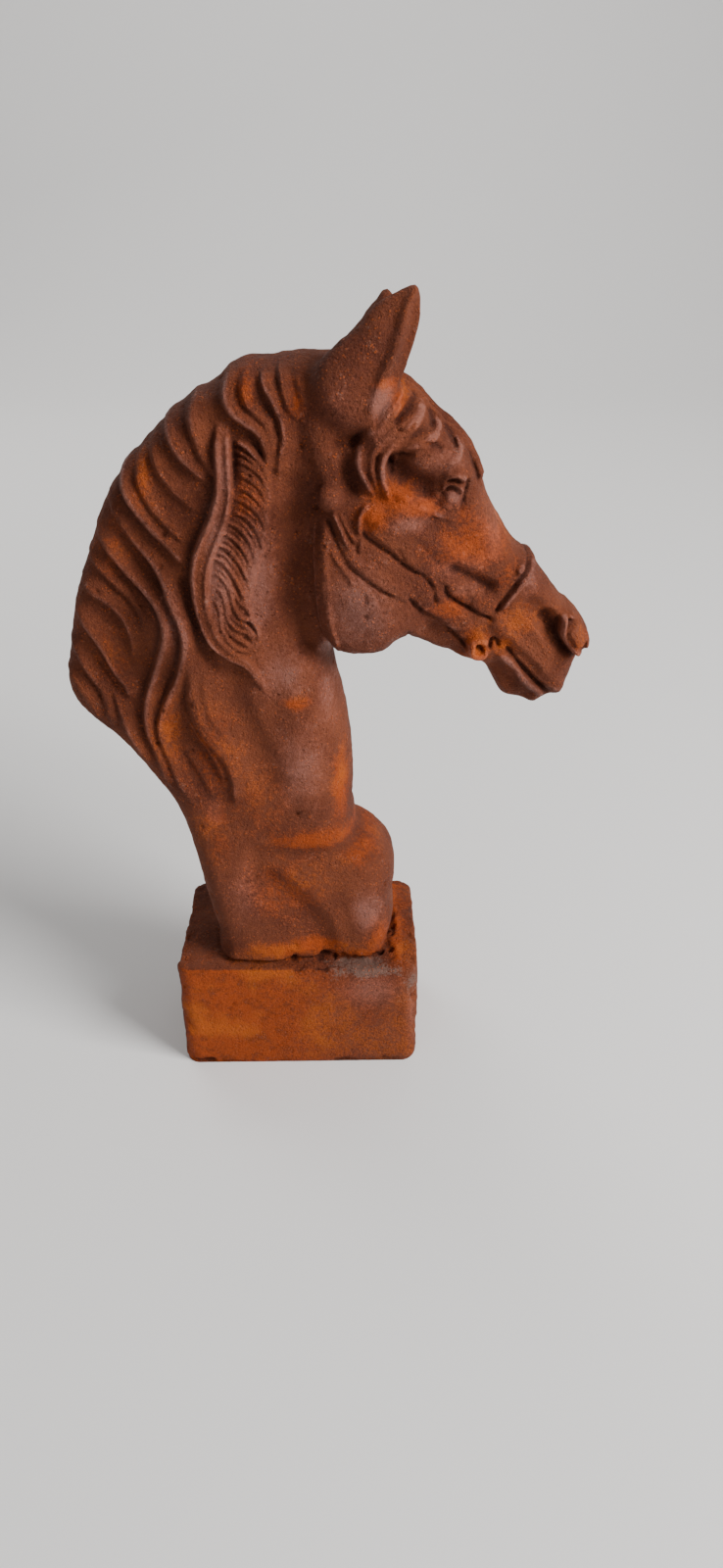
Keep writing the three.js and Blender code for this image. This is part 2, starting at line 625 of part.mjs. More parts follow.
// Merges the flattest edges first until the skin has the wanted number of triangles.
function coarsen({ vertices, faces }, wanted) {
  const quadrics = vertices.map(() => new Float64Array(10));
  const around = vertices.map(() => new Set());
  const alive = faces.map(() => true);
  const normalOf = (a, b, c) => {
    const u = [b[0] - a[0], b[1] - a[1], b[2] - a[2]];
    const v = [c[0] - a[0], c[1] - a[1], c[2] - a[2]];
    return [u[1] * v[2] - u[2] * v[1], u[2] * v[0] - u[0] * v[2], u[0] * v[1] - u[1] * v[0]];
  };
  faces.forEach((face, index) => {
    const [a, b, c] = face.map((i) => vertices[i]);
    const n = normalOf(a, b, c);
    const size = Math.hypot(...n) || 1e-12;
    const [nx, ny, nz] = n.map((value) => value / size);
    const d = -(nx * a[0] + ny * a[1] + nz * a[2]);
    const terms = [nx * nx, nx * ny, nx * nz, nx * d, ny * ny, ny * nz, ny * d, nz * nz, nz * d, d * d];
    for (const i of face) {
      terms.forEach((term, k) => {
        quadrics[i][k] += term * size;
      });
      around[i].add(index);
    }
  });
  const cost = (q, [x, y, z]) =>
    q[0] * x * x + 2 * q[1] * x * y + 2 * q[2] * x * z + 2 * q[3] * x + q[4] * y * y
    + 2 * q[5] * y * z + 2 * q[6] * y + q[7] * z * z + 2 * q[8] * z + q[9];
  const heap = [];
  const push = (item) => {
    let i = heap.length;
    heap.push(item);
    while (i > 0 && heap[(i - 1) >> 1].cost > heap[i].cost) {
      const parent = (i - 1) >> 1;
      [heap[i], heap[parent]] = [heap[parent], heap[i]];
      i = parent;
    }
  };
  const pop = () => {
    const first = heap[0];
    const last = heap.pop();
    if (heap.length > 0) {
      heap[0] = last;
      let i = 0;
      for (;;) {
        const left = 2 * i + 1;
        const right = left + 1;
        let least = i;
        if (left < heap.length && heap[left].cost < heap[least].cost) {
          least = left;
        }
        if (right < heap.length && heap[right].cost < heap[least].cost) {
          least = right;
        }
        if (least === i) {
          break;
        }
        [heap[i], heap[least]] = [heap[least], heap[i]];
        i = least;
      }
    }
    return first;
  };
  const version = vertices.map(() => 0);
  const bestPoint = (a, b) => {
    const q = quadrics[a].map((value, k) => value + quadrics[b][k]);
    const [p, r] = [vertices[a], vertices[b]];
    const middle = p.map((value, k) => (value + r[k]) / 2);
    const det = q[0] * (q[4] * q[7] - q[5] * q[5]) - q[1] * (q[1] * q[7] - q[5] * q[2])
      + q[2] * (q[1] * q[5] - q[4] * q[2]);
    const options = [p, r, middle];
    const scale = q[0] + q[4] + q[7];
    if (Math.abs(det) > 1e-4 * scale ** 3) {
      const [bx, by, bz] = [-q[3], -q[6], -q[8]];
      const x = (bx * (q[4] * q[7] - q[5] * q[5]) - q[1] * (by * q[7] - q[5] * bz)
        + q[2] * (by * q[5] - q[4] * bz)) / det;
      const y = (q[0] * (by * q[7] - bz * q[5]) - bx * (q[1] * q[7] - q[5] * q[2])
        + q[2] * (q[1] * bz - by * q[2])) / det;
      const z = (q[0] * (q[4] * bz - by * q[5]) - q[1] * (q[1] * bz - by * q[2])
        + bx * (q[1] * q[5] - q[4] * q[2])) / det;
      if (Math.hypot(x - middle[0], y - middle[1], z - middle[2]) < 2 * SAMPLE) {
        options.unshift([x, y, z]);
      }
    }
    let best = null;
    for (const point of options) {
      const value = cost(q, point);
      if (best === null || value < best.value - 1e-9) {
        best = { point, value };
      }
    }
    return best;
  };
  const offer = (a, b) => {
    const { point, value } = bestPoint(a, b);
    const reach = Math.hypot(...vertices[a].map((v, k) => v - vertices[b][k]));
    push({ cost: value + 1e-3 * reach * reach, a, b, point, marks: version[a] + version[b] });
  };
  const neighbours = (i) => {
    const found = new Set();
    for (const f of around[i]) {
      for (const j of faces[f]) {
        if (j !== i) {
          found.add(j);
        }
      }
    }
    return found;
  };
  vertices.forEach((_, i) => {
    for (const j of neighbours(i)) {
      if (i < j) {
        offer(i, j);
      }
    }
  });
  let left = faces.length;
  const turns = (keep, gone, point) => {
    for (const f of around[keep]) {
      if (faces[f].includes(gone)) {
        continue;
      }
      const before = normalOf(...faces[f].map((i) => vertices[i]));
      const after = normalOf(...faces[f].map((i) => (i === keep ? point : vertices[i])));
      const dot = before[0] * after[0] + before[1] * after[1] + before[2] * after[2];
      if (dot < 0.25 * Math.hypot(...before) * Math.hypot(...after) || Math.hypot(...after) < 0.05) {
        return true;
      }
    }
    return false;
  };
  while (left > wanted && heap.length > 0) {
    const { a, b, point, marks } = pop();
    if (marks !== version[a] + version[b] || version[a] < 0 || version[b] < 0) {
      continue;
    }
    const ring = neighbours(a);
    if (!ring.has(b)) {
      continue;
    }
    const shared = [...neighbours(b)].filter((i) => ring.has(i));
    if (shared.length !== 2 || turns(a, b, point) || turns(b, a, point)) {
      continue;
    }
    vertices[a] = point;
    quadrics[a] = quadrics[a].map((value, k) => value + quadrics[b][k]);
    for (const f of [...around[b]]) {
      if (faces[f].includes(a)) {
        alive[f] = false;
        left -= 1;
        for (const i of faces[f]) {
          around[i].delete(f);
        }
      } else {
        faces[f] = faces[f].map((i) => (i === b ? a : i));
        around[a].add(f);
      }
    }
    around[b].clear();
    version[b] = -1e9;
    version[a] += 1;
    const touched = neighbours(a);
    for (const i of touched) {
      offer(a, i);
    }
  }
  return { vertices, faces: faces.filter((_, f) => alive[f]) };
}

function toArrays({ vertices, faces }) {
  const order = new Map();
  const positions = [];
  const indices = [];
  for (const face of faces) {
    for (const i of face) {
      if (!order.has(i)) {
        order.set(i, order.size);
        const [x, y, z] = vertices[i];
        const height = BLOCK_HEIGHT + (z - DRAWN_FOOT) * BUST_SCALE;
        positions.push(x * BUST_SCALE, y * BUST_SCALE, height);
      }
      indices.push(order.get(i));
    }
  }
  return { positions: new Float32Array(positions), indices: new Uint32Array(indices) };
}

// The block: a rectangle with rounded upright corners and slightly rounded rims.
function blockGeometry() {
  const hx = BLOCK_LENGTH / 2 - BLOCK_EDGE;
  const hy = BLOCK_DEPTH / 2 - BLOCK_EDGE;
  const r = BLOCK_CORNER - BLOCK_EDGE;
  const corners = [
    [hx - r, -hy + r, -Math.PI / 2],
    [hx - r, hy - r, 0],
    [-hx + r, hy - r, Math.PI / 2],
    [-hx + r - BLOCK_SKEW, -hy + r, Math.PI],
  ];
  const shape = new THREE.Shape();
  corners.forEach(([x, y, start]) => shape.absarc(x, y, r, start, start + Math.PI / 2, false));
  const geometry = new THREE.ExtrudeGeometry(shape, {
    depth: BLOCK_HEIGHT - 2 * BLOCK_EDGE,
    bevelEnabled: true,
    bevelThickness: BLOCK_EDGE,
    bevelSize: BLOCK_EDGE,
    bevelSegments: 2,
    curveSegments: 5,
    steps: 1,
  });
  geometry.translate(0, 0, BLOCK_EDGE);
  return geometry;
}

const wasm = await Module();
wasm.setup();

function solidFromArrays({ positions, indices }) {
  const mesh = new wasm.Mesh({ numProp: 3, vertProperties: positions, triVerts: indices });
  return new wasm.Manifold(mesh);
}

function solidFromGeometry(geometry) {
  const found = new Map();
  const positions = [];
  const indices = [];
  const source = geometry.attributes.position;
  for (let i = 0; i < source.count; i += 1) {
    const point = [source.getX(i), source.getY(i), source.getZ(i)];
    const key = point.map((value) => Math.round(value * 1e4)).join();
    if (!found.has(key)) {
      found.set(key, found.size);
      positions.push(...point);
    }
    indices.push(found.get(key));
  }
  const whole = [];
  for (let i = 0; i < indices.length; i += 3) {
    const [a, b, c] = indices.slice(i, i + 3);
    if (a !== b && b !== c && a !== c) {
      whole.push(a, b, c);
    }
  }
  return solidFromArrays({ positions: new Float32Array(positions), indices: new Uint32Array(whole) });
}

function sculpture() {
  const yMin = -48;
  const layers = Math.ceil(96 / SAMPLE) + 1;
  const values = sampleField(bustField(), layers, yMin);
  const bust = solidFromArrays(toArrays(coarsen(skin(values, layers, yMin), TRIANGLES)));
  const block = solidFromGeometry(blockGeometry());
  const { vertProperties, triVerts, numProp } = block.add(bust).getMesh();
  const positions = [];
  for (let i = 0; i < vertProperties.length; i += numProp) {
    positions.push(vertProperties[i], vertProperties[i + 1], vertProperties[i + 2]);
  }
  const geometry = new THREE.BufferGeometry();
  geometry.setAttribute("position", new THREE.Float32BufferAttribute(positions, 3));
  geometry.setIndex([...triVerts]);
  geometry.computeVertexNormals();
  return geometry;
}

const castStone = new THREE.MeshStandardMaterial({ color: 0x8a4a2b, roughness: 0.85, metalness: 0 });
const horseHead = new THREE.Mesh(sculpture(), castStone);
horseHead.name = "horse_head_sculpture";

const object = new THREE.Group();
object.add(horseHead);

export default object;
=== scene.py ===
import math

import bpy
import numpy as np
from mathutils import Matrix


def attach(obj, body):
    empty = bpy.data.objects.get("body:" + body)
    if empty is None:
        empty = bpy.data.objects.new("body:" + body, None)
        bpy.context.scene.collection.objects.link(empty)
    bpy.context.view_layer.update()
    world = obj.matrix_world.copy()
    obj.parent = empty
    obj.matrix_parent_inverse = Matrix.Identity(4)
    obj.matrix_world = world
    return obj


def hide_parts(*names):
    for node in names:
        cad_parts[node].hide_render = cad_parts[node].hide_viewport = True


# The bust is drawn on its long vertical plane as (x, z) in millimetres, from the centre of the
# block's underside. At each point an outline, a half thickness and a relief are known, and both
# sides are rounded over from there. The same outlines shape the solid that it stands for.
MAP_STEP = 0.5
X_LOW, X_HIGH = -126.0, 158.0
Z_LOW, Z_HIGH = 60.0, 440.0
SECTION_POWER = 2.4

NECK_OUTLINE = [
    (28, 397), (12, 400), (-5, 398), (-19, 397), (-31, 388), (-45, 380), (-56, 370),
    (-66, 360), (-77, 348), (-88, 332), (-95, 315), (-101, 300), (-107, 285), (-111, 268),
    (-115, 250), (-117, 236), (-113, 225), (-104, 215), (-94, 206), (-80, 188), (-69, 171),
    (-62, 152), (-57, 133), (-53, 110), (-48, 86), (-44, 62), (0, 60), (48, 62), (51, 78),
    (54, 92), (52.5, 105), (54.5, 116), (52.5, 129), (44, 139.5), (34.5, 147.5), (30.5, 160),
    (31, 180), (29.5, 207), (26, 230), (21, 252), (22, 275), (40, 330), (42, 385),
]
HEAD_OUTLINE = [
    (20, 398), (45, 393), (58, 385.5), (71, 372.5), (79, 366), (86, 357), (92, 346), (97, 332.5),
    (103, 322), (112, 309), (117.4, 305), (121.6, 302.8), (123, 298.6), (128, 292), (139, 278),
    (146.5, 269.5), (150.5, 262), (150.4, 256), (146.8, 251), (145, 245), (142.6, 237),
    (139.5, 230.5), (132, 228), (126, 223.5), (118, 226.5), (109, 229), (103, 239), (97.5, 247.5),
    (88, 251), (75, 256.5), (63, 263), (56, 265), (48, 259.5), (37, 258), (23, 260), (14.5, 275),
    (11, 297), (11, 318), (12, 336), (6, 360), (4, 385),
]
NEAR_EAR_OUTLINE = [
    (15, 383), (16, 398), (24, 407), (33, 414), (41, 423.5), (50, 428.5), (58.5, 431.5),
    (60.5, 424), (59, 412), (55, 399), (50, 386), (42, 374), (28, 372),
]
FAR_EAR_OUTLINE = [
    (15, 380), (20, 392), (29, 402), (36, 409.5), (42, 417), (47.5, 422.5), (51.5, 418),
    (52.5, 408), (51, 396), (48, 384), (42, 374), (28, 372),
]

# Ridges and hollows of an ear, over its own slab.
EAR_FORMS = [
    ([(40, 382), (44, 394), (49, 405), (52, 415), (55, 424), (58, 431)], 3.6, 2.4),
    ([(50.5, 392), (54, 402), (57, 412), (59, 424)], 4.4, -4.4),
    ([(24, 388), (32, 398), (42, 412)], 9, 1.5),
]

# Half thickness and edge rounding: (x, z, half thickness, rounding).
NECK_FORM = [
    (0, 390, 22, 20), (-25, 380, 20, 16), (-60, 350, 18, 14), (-92, 310, 15, 14),
    (-108, 245, 15, 14), (-30, 340, 27, 18), (0, 312, 26, 20), (4, 275, 27, 22),
    (-32, 280, 31, 20), (-75, 225, 21, 16), (10, 220, 29, 27), (-25, 215, 32, 24),
    (-52, 180, 27, 18), (0, 170, 32, 26), (20, 172, 29, 22), (0, 140, 33, 18),
    (-38, 110, 36, 14), (12, 110, 36, 14), (43, 92, 34, 14), (43, 130, 27, 17),
    (-36, 74, 36, 12), (0, 74, 37, 12), (42, 74, 35, 12),
]
HEAD_FORM = [
    (15, 385, 25, 14), (45, 362, 28, 14), (72, 355, 31, 16), (86, 350, 27, 16),
    (86, 335, 26, 14), (42, 335, 35, 12), (38, 300, 38, 12), (35, 273, 34, 12),
    (62, 303, 33, 12), (70, 318, 30, 14), (97, 322, 20, 13), (92, 303, 24, 12),
    (75, 276, 22, 11), (92, 265, 20, 10), (112, 298, 20, 12), (125, 280, 19, 12),
    (140, 270, 19, 11), (125, 255, 20, 12), (140, 243, 16, 10), (118, 236, 14, 9),
    (15, 300, 35, 9), (25, 350, 29, 12),
]


def smooth_path(points, spacing, closed=False):
    """A centripetal Catmull-Rom curve through the points, sampled about evenly."""
    p = np.array(points, float)
    if closed:
        p = np.vstack([p[-1], p, p[0], p[1]])
    else:
        p = np.vstack([2 * p[0] - p[1], p, 2 * p[-1] - p[-2]])
    out = []
    for i in range(1, len(p) - 2):
        p0, p1, p2, p3 = p[i - 1], p[i], p[i + 1], p[i + 2]
        t01, t12, t23 = (np.hypot(*v) ** 0.5 + 1e-6 for v in (p1 - p0, p2 - p1, p3 - p2))
        m1 = (p2 - p1) + t12 * ((p1 - p0) / t01 - (p2 - p0) / (t01 + t12))
        m2 = (p2 - p1) + t12 * ((p3 - p2) / t23 - (p3 - p1) / (t12 + t23))
        a = 2 * (p1 - p2) + m1 + m2
        b = -3 * (p1 - p2) - 2 * m1 - m2
        n = max(2, int(np.ceil(np.hypot(*(p2 - p1)) / spacing)))
        t = np.arange(n)[:, None] / n
        out.append(a * t**3 + b * t**2 + m1 * t + p1)
    out.append(p[-2][None])
    return np.vstack(out)


class Plane:
    """A regular grid over the middle plane."""

    def __init__(self, step):
        self.step = step
        self.columns = int(round((X_HIGH - X_LOW) / step)) + 1
        self.rows = int(round((Z_HIGH - Z_LOW) / step)) + 1
        x = X_LOW + np.arange(self.columns) * step
        z = Z_LOW + np.arange(self.rows) * step
        self.x, self.z = np.meshgrid(x, z)

    def blank(self):
        return np.zeros((self.rows, self.columns))

    def window(self, points, margin):
        """The rows and columns that hold the points and a margin around them."""
        out = []
        for axis, start, count in ((1, Z_LOW, self.rows), (0, X_LOW, self.columns)):
            low = np.floor((points[:, axis].min() - margin - start) / self.step)
            high = np.ceil((points[:, axis].max() + margin - start) / self.step) + 1
            out.append(slice(int(np.clip(low, 0, count - 1)), int(np.clip(high, 1, count))))
        return out


def at(plane, values, x, z):
    """Values between the grid places."""
    u = np.clip((x - X_LOW) / plane.step, 0, plane.columns - 1.001)
    v = np.clip((z - Z_LOW) / plane.step, 0, plane.rows - 1.001)
    i, j = u.astype(int), v.astype(int)
    fu, fv = u - i, v - j
    low = values[j, i] * (1 - fu) + values[j, i + 1] * fu
    high = values[j + 1, i] * (1 - fu) + values[j + 1, i + 1] * fu
    return low * (1 - fv) + high * fv


def from_stretch(x, z, a, b):
    """How far along the stretch from a to b each place lies, from 0 to 1, and its offset from there."""
    u = b - a
    t = np.clip(((x - a[0]) * u[0] + (z - a[1]) * u[1]) / (u @ u + 1e-12), 0, 1)
    return t, x - a[0] - t * u[0], z - a[1] - t * u[1]


def inside_distance(plane, outline):
    """Signed distance to a closed outline, positive inside."""
    line = smooth_path(outline, 3.0, closed=True)
    inside = np.zeros(plane.x.shape, bool)
    nearest = np.full(plane.x.shape, 1e9)
    for a, b in zip(line[:-1], line[1:]):
        if a[1] != b[1]:
            cross = ((a[1] > plane.z) != (b[1] > plane.z)) & (
                plane.x < a[0] + (plane.z - a[1]) / (b[1] - a[1]) * (b[0] - a[0])
            )
            inside ^= cross
        _, dx, dz = from_stretch(plane.x, plane.z, a, b)
        nearest = np.minimum(nearest, dx * dx + dz * dz)
    distance = np.sqrt(nearest)
    return np.where(inside, distance, -distance)


def blend_sizes(plane, form, index, reach):
    """One of a form's sizes over the whole plane, blended by the distance to its places."""
    total = np.zeros(plane.x.shape)
    weights = np.zeros(plane.x.shape)
    for size in form:
        apart = (plane.x - size[0]) ** 2 + (plane.z - size[1]) ** 2
        weight = np.exp(-apart / (2 * reach * reach)) + 1e-4 / (1 + apart)
        total += weight * size[index]
        weights += weight
    return total / weights


def cross_section(kind, distance, reach, side):
    """A stroke's height across its width, from 1 on its path to 0 at its reach."""
    s = np.minimum(distance / reach, 1)
    if kind == "round":
        return np.sqrt(1 - s * s)
    if kind == "crest":
        return (1 - s) ** 1.25
    if kind == "flat":
        return np.clip((1 - s) * 3.0, 0, 1) ** 0.7
    if kind == "lock":
        # steep behind its crest, and falling off gently to the front
        steep = np.clip(distance / (0.32 * reach), 0, 1)
        return np.where(side < 0, (1 - steep) ** 1.3 * (1 + 1.3 * steep), (1 - s) ** 1.35)
    return (1 - s * s) ** 2


def lay(plane, values, path, half, height, kind="round", taper=0.15, tip=0.35, blunt=0.25):
    """Lay one stroke. half and height are numbers, or lists that run along the path.

    Over the share taper of its length at both ends it narrows to the share tip of its width and
    sinks to the share blunt of its height. A lock sinks to nothing, and a soft stroke stays as it is.
    """
    line = smooth_path(path, 1.6)
    halves = np.atleast_1d(np.array(half, float))
    heights = np.atleast_1d(np.array(height, float))
    rows, columns = plane.window(line, halves.max() + 1)
    x, z = plane.x[rows, columns], plane.z[rows, columns]
    best = np.full(x.shape, 1e9)
    along = np.zeros(x.shape)
    side = np.zeros(x.shape)
    count = len(line) - 1
    for i in range(count):
        a, b = line[i], line[i + 1]
        around = zip(plane.window(line[i : i + 2], halves.max() + 1), (rows, columns))
        sub = tuple(slice(near.start - whole.start, near.stop - whole.start) for near, whole in around)
        t, dx, dz = from_stretch(x[sub], z[sub], a, b)
        d = dx * dx + dz * dz
        closer = d < best[sub]
        best[sub] = np.where(closer, d, best[sub])
        along[sub] = np.where(closer, (i + t) / count, along[sub])
        side[sub] = np.where(closer, np.sign((b[0] - a[0]) * dz - (b[1] - a[1]) * dx), side[sub])
    distance = np.sqrt(best)
    end = np.clip(np.minimum(along, 1 - along) / taper, 0, 1)
    end = end * end * (3 - 2 * end)
    if kind == "soft":
        end = np.ones(end.shape)
    reach = np.interp(along, np.linspace(0, 1, len(halves)), halves) * (tip + (1 - tip) * end)
    reach = np.maximum(reach, 1e-3)
    low = 0.0 if kind == "lock" else blunt
    tall = np.interp(along, np.linspace(0, 1, len(heights)), heights) * (low + (1 - low) * end)
    level = cross_section(kind, distance, reach, side)
    on = distance / reach < 1
    target = values[rows, columns]
    if kind == "soft":
        target[on] += (tall * level)[on]
    else:
        target[on] = np.maximum(target, tall * level)[on]


def midway(first, second, count=14):
    """The path halfway between two others."""
    ends = []
    for path in (first, second):
        line = smooth_path(path, 1.0)
        run = np.concatenate([[0], np.cumsum(np.hypot(*np.diff(line, axis=0).T))])
        t = np.linspace(0, run[-1], count)
        ends.append(np.stack([np.interp(t, run, line[:, 0]), np.interp(t, run, line[:, 1])], 1))
    return ends[0] * 0.5 + ends[1] * 0.5


def beside(path, shift):
    """The path moved sideways, to the front for a positive shift, which may vary along it."""
    line = smooth_path(path, 1.6)
    run = np.gradient(line, axis=0)
    run /= np.hypot(run[:, 0], run[:, 1])[:, None] + 1e-9
    shifts = np.atleast_1d(np.array(shift, float))
    shifts = np.interp(np.linspace(0, 1, len(line)), np.linspace(0, 1, len(shifts)), shifts)
    return line + np.stack([-run[:, 1], run[:, 0]], 1) * shifts[:, None]


def soften(values, radius, times=2):
    """A box blur, run twice unless told otherwise."""
    out = values
    for _ in range(times):
        for axis in (0, 1):
            pad = [(0, 0), (0, 0)]
            pad[axis] = (radius + 1, radius)
            total = np.cumsum(np.pad(out, pad, mode="edge"), axis=axis)
            n = out.shape[axis]
            high = np.take(total, np.arange(2 * radius + 1, 2 * radius + 1 + n), axis=axis)
            low = np.take(total, np.arange(n), axis=axis)
            out = (high - low) / (2 * radius + 1)
    return out


# Locks of the mane: the crest of each lock from the neck's ridge to its tip, how far it falls
# off to the front, and how high it stands along its length.
MANE_LOCKS = [
    ([(-38, 387), (-42, 378), (-41.5, 371), (-39, 363), (-35, 355), (-31, 349)], 7, [2, 3.4, 3.4, 2]),
    ([(-49, 380), (-54, 373), (-52, 366), (-48, 359), (-42, 353), (-35, 347)], 7.5, [2, 4, 4, 2.5]),
    ([(-57, 372), (-61, 362), (-59, 353), (-54, 345), (-47, 338), (-40, 333)], 6, [1.4, 2.4, 2.4, 1.4]),
    ([(-63, 366), (-68, 354), (-67, 343), (-62, 333), (-55, 325), (-47, 317)], 6, [1.6, 2.6, 3, 2]),
    ([(-70, 361), (-76, 350), (-75, 341), (-70, 332), (-63, 323), (-55, 315), (-47, 307)],
     8, [2.5, 4.6, 5.2, 5, 4, 3]),
    ([(-80, 350), (-84, 340), (-81, 331), (-74, 323), (-67, 316), (-61, 309)], 6, [1, 1.8, 1.8, 1]),
    ([(-84, 342), (-78, 326), (-72, 316), (-66, 309), (-61, 301), (-57, 291), (-53.5, 283), (-51.5, 274),
      (-52, 266), (-54, 257), (-57.5, 247), (-62, 238), (-66, 229), (-68.5, 220), (-68, 211),
      (-65.5, 203), (-62, 193), (-58, 182), (-52, 168)],
     8, [1, 3, 4.8, 5.4, 5.6, 5.4, 5.2, 5, 4, 3, 1.6]),
    ([(-93, 331), (-91, 321), (-87, 314), (-82, 306.5), (-76, 299), (-69, 292), (-63.5, 286), (-61, 278),
      (-62, 269), (-65, 260), (-68.5, 250), (-72, 241), (-74.5, 232), (-75.5, 223), (-74.5, 214),
      (-72, 207), (-69.5, 199), (-67.5, 190), (-63, 178)],
     8, [1.4, 3.6, 4.8, 5.4, 5.6, 5.4, 5, 4.6, 3.4, 2]),
    ([(-100, 314), (-93, 304), (-86, 296), (-79, 289), (-74, 283), (-71.5, 276), (-72, 268)],
     6, [1.4, 2.2, 2.6, 2, 1]),
    ([(-104, 300), (-98, 291), (-92, 287), (-86, 282), (-81, 274), (-79, 265), (-80, 255)],
     7, [1.6, 3, 3.6, 3, 1.6]),
    ([(-108, 285), (-104, 277), (-100, 270), (-96, 264), (-92, 256), (-88.5, 248), (-84, 241),
      (-83, 232)], 8, [2, 3.6, 4.8, 4.8, 4, 2.4]),
    ([(-113, 266), (-109, 259), (-105, 251), (-101, 244), (-97, 237), (-95, 228), (-94.5, 218)],
     6.5, [1.6, 2.8, 3.2, 2.6, 1.6]),
    ([(-91, 240), (-89, 229), (-87, 220), (-84, 211), (-80, 203), (-75, 196)], 7, [1, 2.6, 3.6, 3, 1.6]),
    ([(-116, 250), (-113, 243), (-108, 236), (-104, 228), (-101, 219)], 6, [1.6, 2.6, 2.6, 1.2]),
    ([(-49, 270), (-50, 260), (-50.5, 247), (-50.5, 236), (-48.5, 226), (-43.5, 217), (-38, 209),
      (-34, 201), (-32, 192), (-31.5, 183), (-33, 172)], [6, 10, 13, 13, 9, 7, 6],
     [1, 3.4, 4.2, 4.4, 4.4, 4.2, 4, 3.6, 2]),
    ([(-58, 232), (-53, 224), (-48, 215.5), (-43, 208), (-39.5, 200), (-37.5, 191), (-37, 183)],
     3.6, [1, 2.6, 3.2, 3, 2, 1]),
    ([(-58, 214), (-54, 204), (-49, 194), (-45, 184), (-41, 174)], 6, [0.6, 1.4, 1.4, 0.6]),
    ([(-22, 397), (-25.5, 390), (-26, 384), (-23, 378), (-17, 373.5), (-11.5, 369.5), (-8.5, 363),
      (-7.5, 356), (-7, 350)], 7, [2, 4.2, 4.8, 4.8, 4, 2]),
    ([(-14, 398), (-17.5, 390), (-16.5, 383), (-13, 378), (-8, 373), (-5.5, 367), (-5, 360), (-5.2, 353)],
     5.5, [1.6, 3.2, 3.4, 3, 1.6]),
    ([(-8, 398), (-8.5, 391), (-5.5, 385), (-2.5, 379), (-0.5, 373), (0, 366), (-2, 358), (-3, 349)],
     6, [2, 4, 4.4, 4, 2]),
    ([(-1, 399), (0, 390), (1.5, 384), (4, 379), (7, 374)], 6, [2, 3.4, 3.4, 2]),
    ([(5, 400), (7, 391), (9, 383), (11, 377)], 6, [1, 2, 2, 1]),
]

# The plaited lock in the middle, and its half width along it.
PLAIT = [
    (-27.5, 373), (-27.8, 360), (-27.8, 350), (-28.3, 342), (-31, 332), (-35.5, 322), (-39.5, 313),
    (-41.5, 303), (-41.8, 293), (-40.5, 283), (-38, 274), (-34, 267.5), (-28, 262.5), (-22, 258.5),
    (-18, 253), (-14.5, 246), (-12, 239),
]
PLAIT_HALF = [3.2, 3.8, 4, 4.6, 5.2, 5.2, 4.6, 4, 3.4, 2.8, 2, 1.2]

# The flat bed under the row of feathery ends, and the row itself from the top down.
FEATHER_BED = [
    (-16, 364), (-15, 350), (-17, 338), (-22, 325), (-26, 312), (-29, 300), (-30, 288), (-28, 276),
    (-24, 266),
]
FEATHER = [
    [(-23, 366), (-17, 363), (-12, 358), (-8, 352), (-6, 345)],
    [(-23, 358), (-17, 356), (-11, 351), (-8, 345), (-6, 337)],
    [(-23, 352), (-17, 350), (-12, 346), (-9, 340), (-7, 332)],
    [(-23, 346), (-17, 344), (-12, 339), (-9, 333), (-8, 325)],
    [(-25, 341), (-18, 339), (-13, 334), (-10, 327), (-10, 318)],
    [(-27, 335), (-20, 333), (-15, 328), (-12, 320), (-12, 311)],
    [(-30, 330), (-23, 328), (-18, 322), (-15, 313), (-14, 303)],
    [(-33, 325), (-26, 323), (-20, 316), (-17, 306), (-16, 296)],
    [(-36, 319), (-29, 318), (-23, 311), (-19, 301), (-18, 290)],
    [(-38, 312), (-32, 312), (-26, 305), (-22, 296), (-20, 288), (-17, 284)],
    [(-38, 305), (-33, 305), (-28, 298), (-26, 289), (-23, 283), (-18, 281), (-15.5, 274), (-16, 267)],
    [(-37, 299), (-32, 297), (-30, 290), (-29, 282), (-25, 277), (-20, 274), (-18, 268)],
    [(-36, 295), (-33, 288), (-33, 280), (-30, 272), (-26, 267), (-20, 263)],
    [(-38, 291), (-37, 283), (-35, 275), (-31, 268), (-26, 264)],
]

# Broad forms of the neck and the breast: path, half width and height, which is below 0 for a hollow.
BODY_FORMS = [
    ([(-42, 150), (-30, 118), (-22, 84)], 20, 2.2),
    ([(34, 124), (40, 104), (40, 84)], 17, 2.6),
    ([(4, 250), (4, 225), (6, 195), (12, 172)], 15, 2.4),
    ([(24, 240), (25, 215), (25, 185)], 6, -1),
    ([(-24, 132), (-6, 116), (8, 98), (14, 80)], 13, -4),
    ([(-22, 144), (0, 141), (22, 143), (34, 149)], 9, -2.6),
    ([(4, 345), (2, 320), (1, 295), (6, 268)], 10, -4),
    ([(-30, 250), (-28, 232), (-20, 210), (-14, 190)], 12, -3),
    ([(-49, 300), (-46, 284), (-43, 268), (-38, 256)], 5, -2.4),
    ([(-5, 160), (10, 154), (26, 154)], 12, 1.6),
]


def mane_strands(plane):
    """Finer strands on the locks of the mane, in front of each crest."""
    strands = plane.blank()
    dice = np.random.default_rng(7)
    for path, half, _ in MANE_LOCKS:
        reach = float(np.mean(half))
        for share in np.arange(0.22, 0.95, 0.24):
            offset = reach * (share + dice.uniform(-0.06, 0.06))
            trace = beside(path, offset)[2:-2:3]
            if len(trace) > 4:
                cut = int(dice.integers(0, max(1, len(trace) // 4)))
                lay(plane, strands, trace[cut:], 1.4, dice.uniform(0.5, 1.3), "crest", 0.25)
    return strands


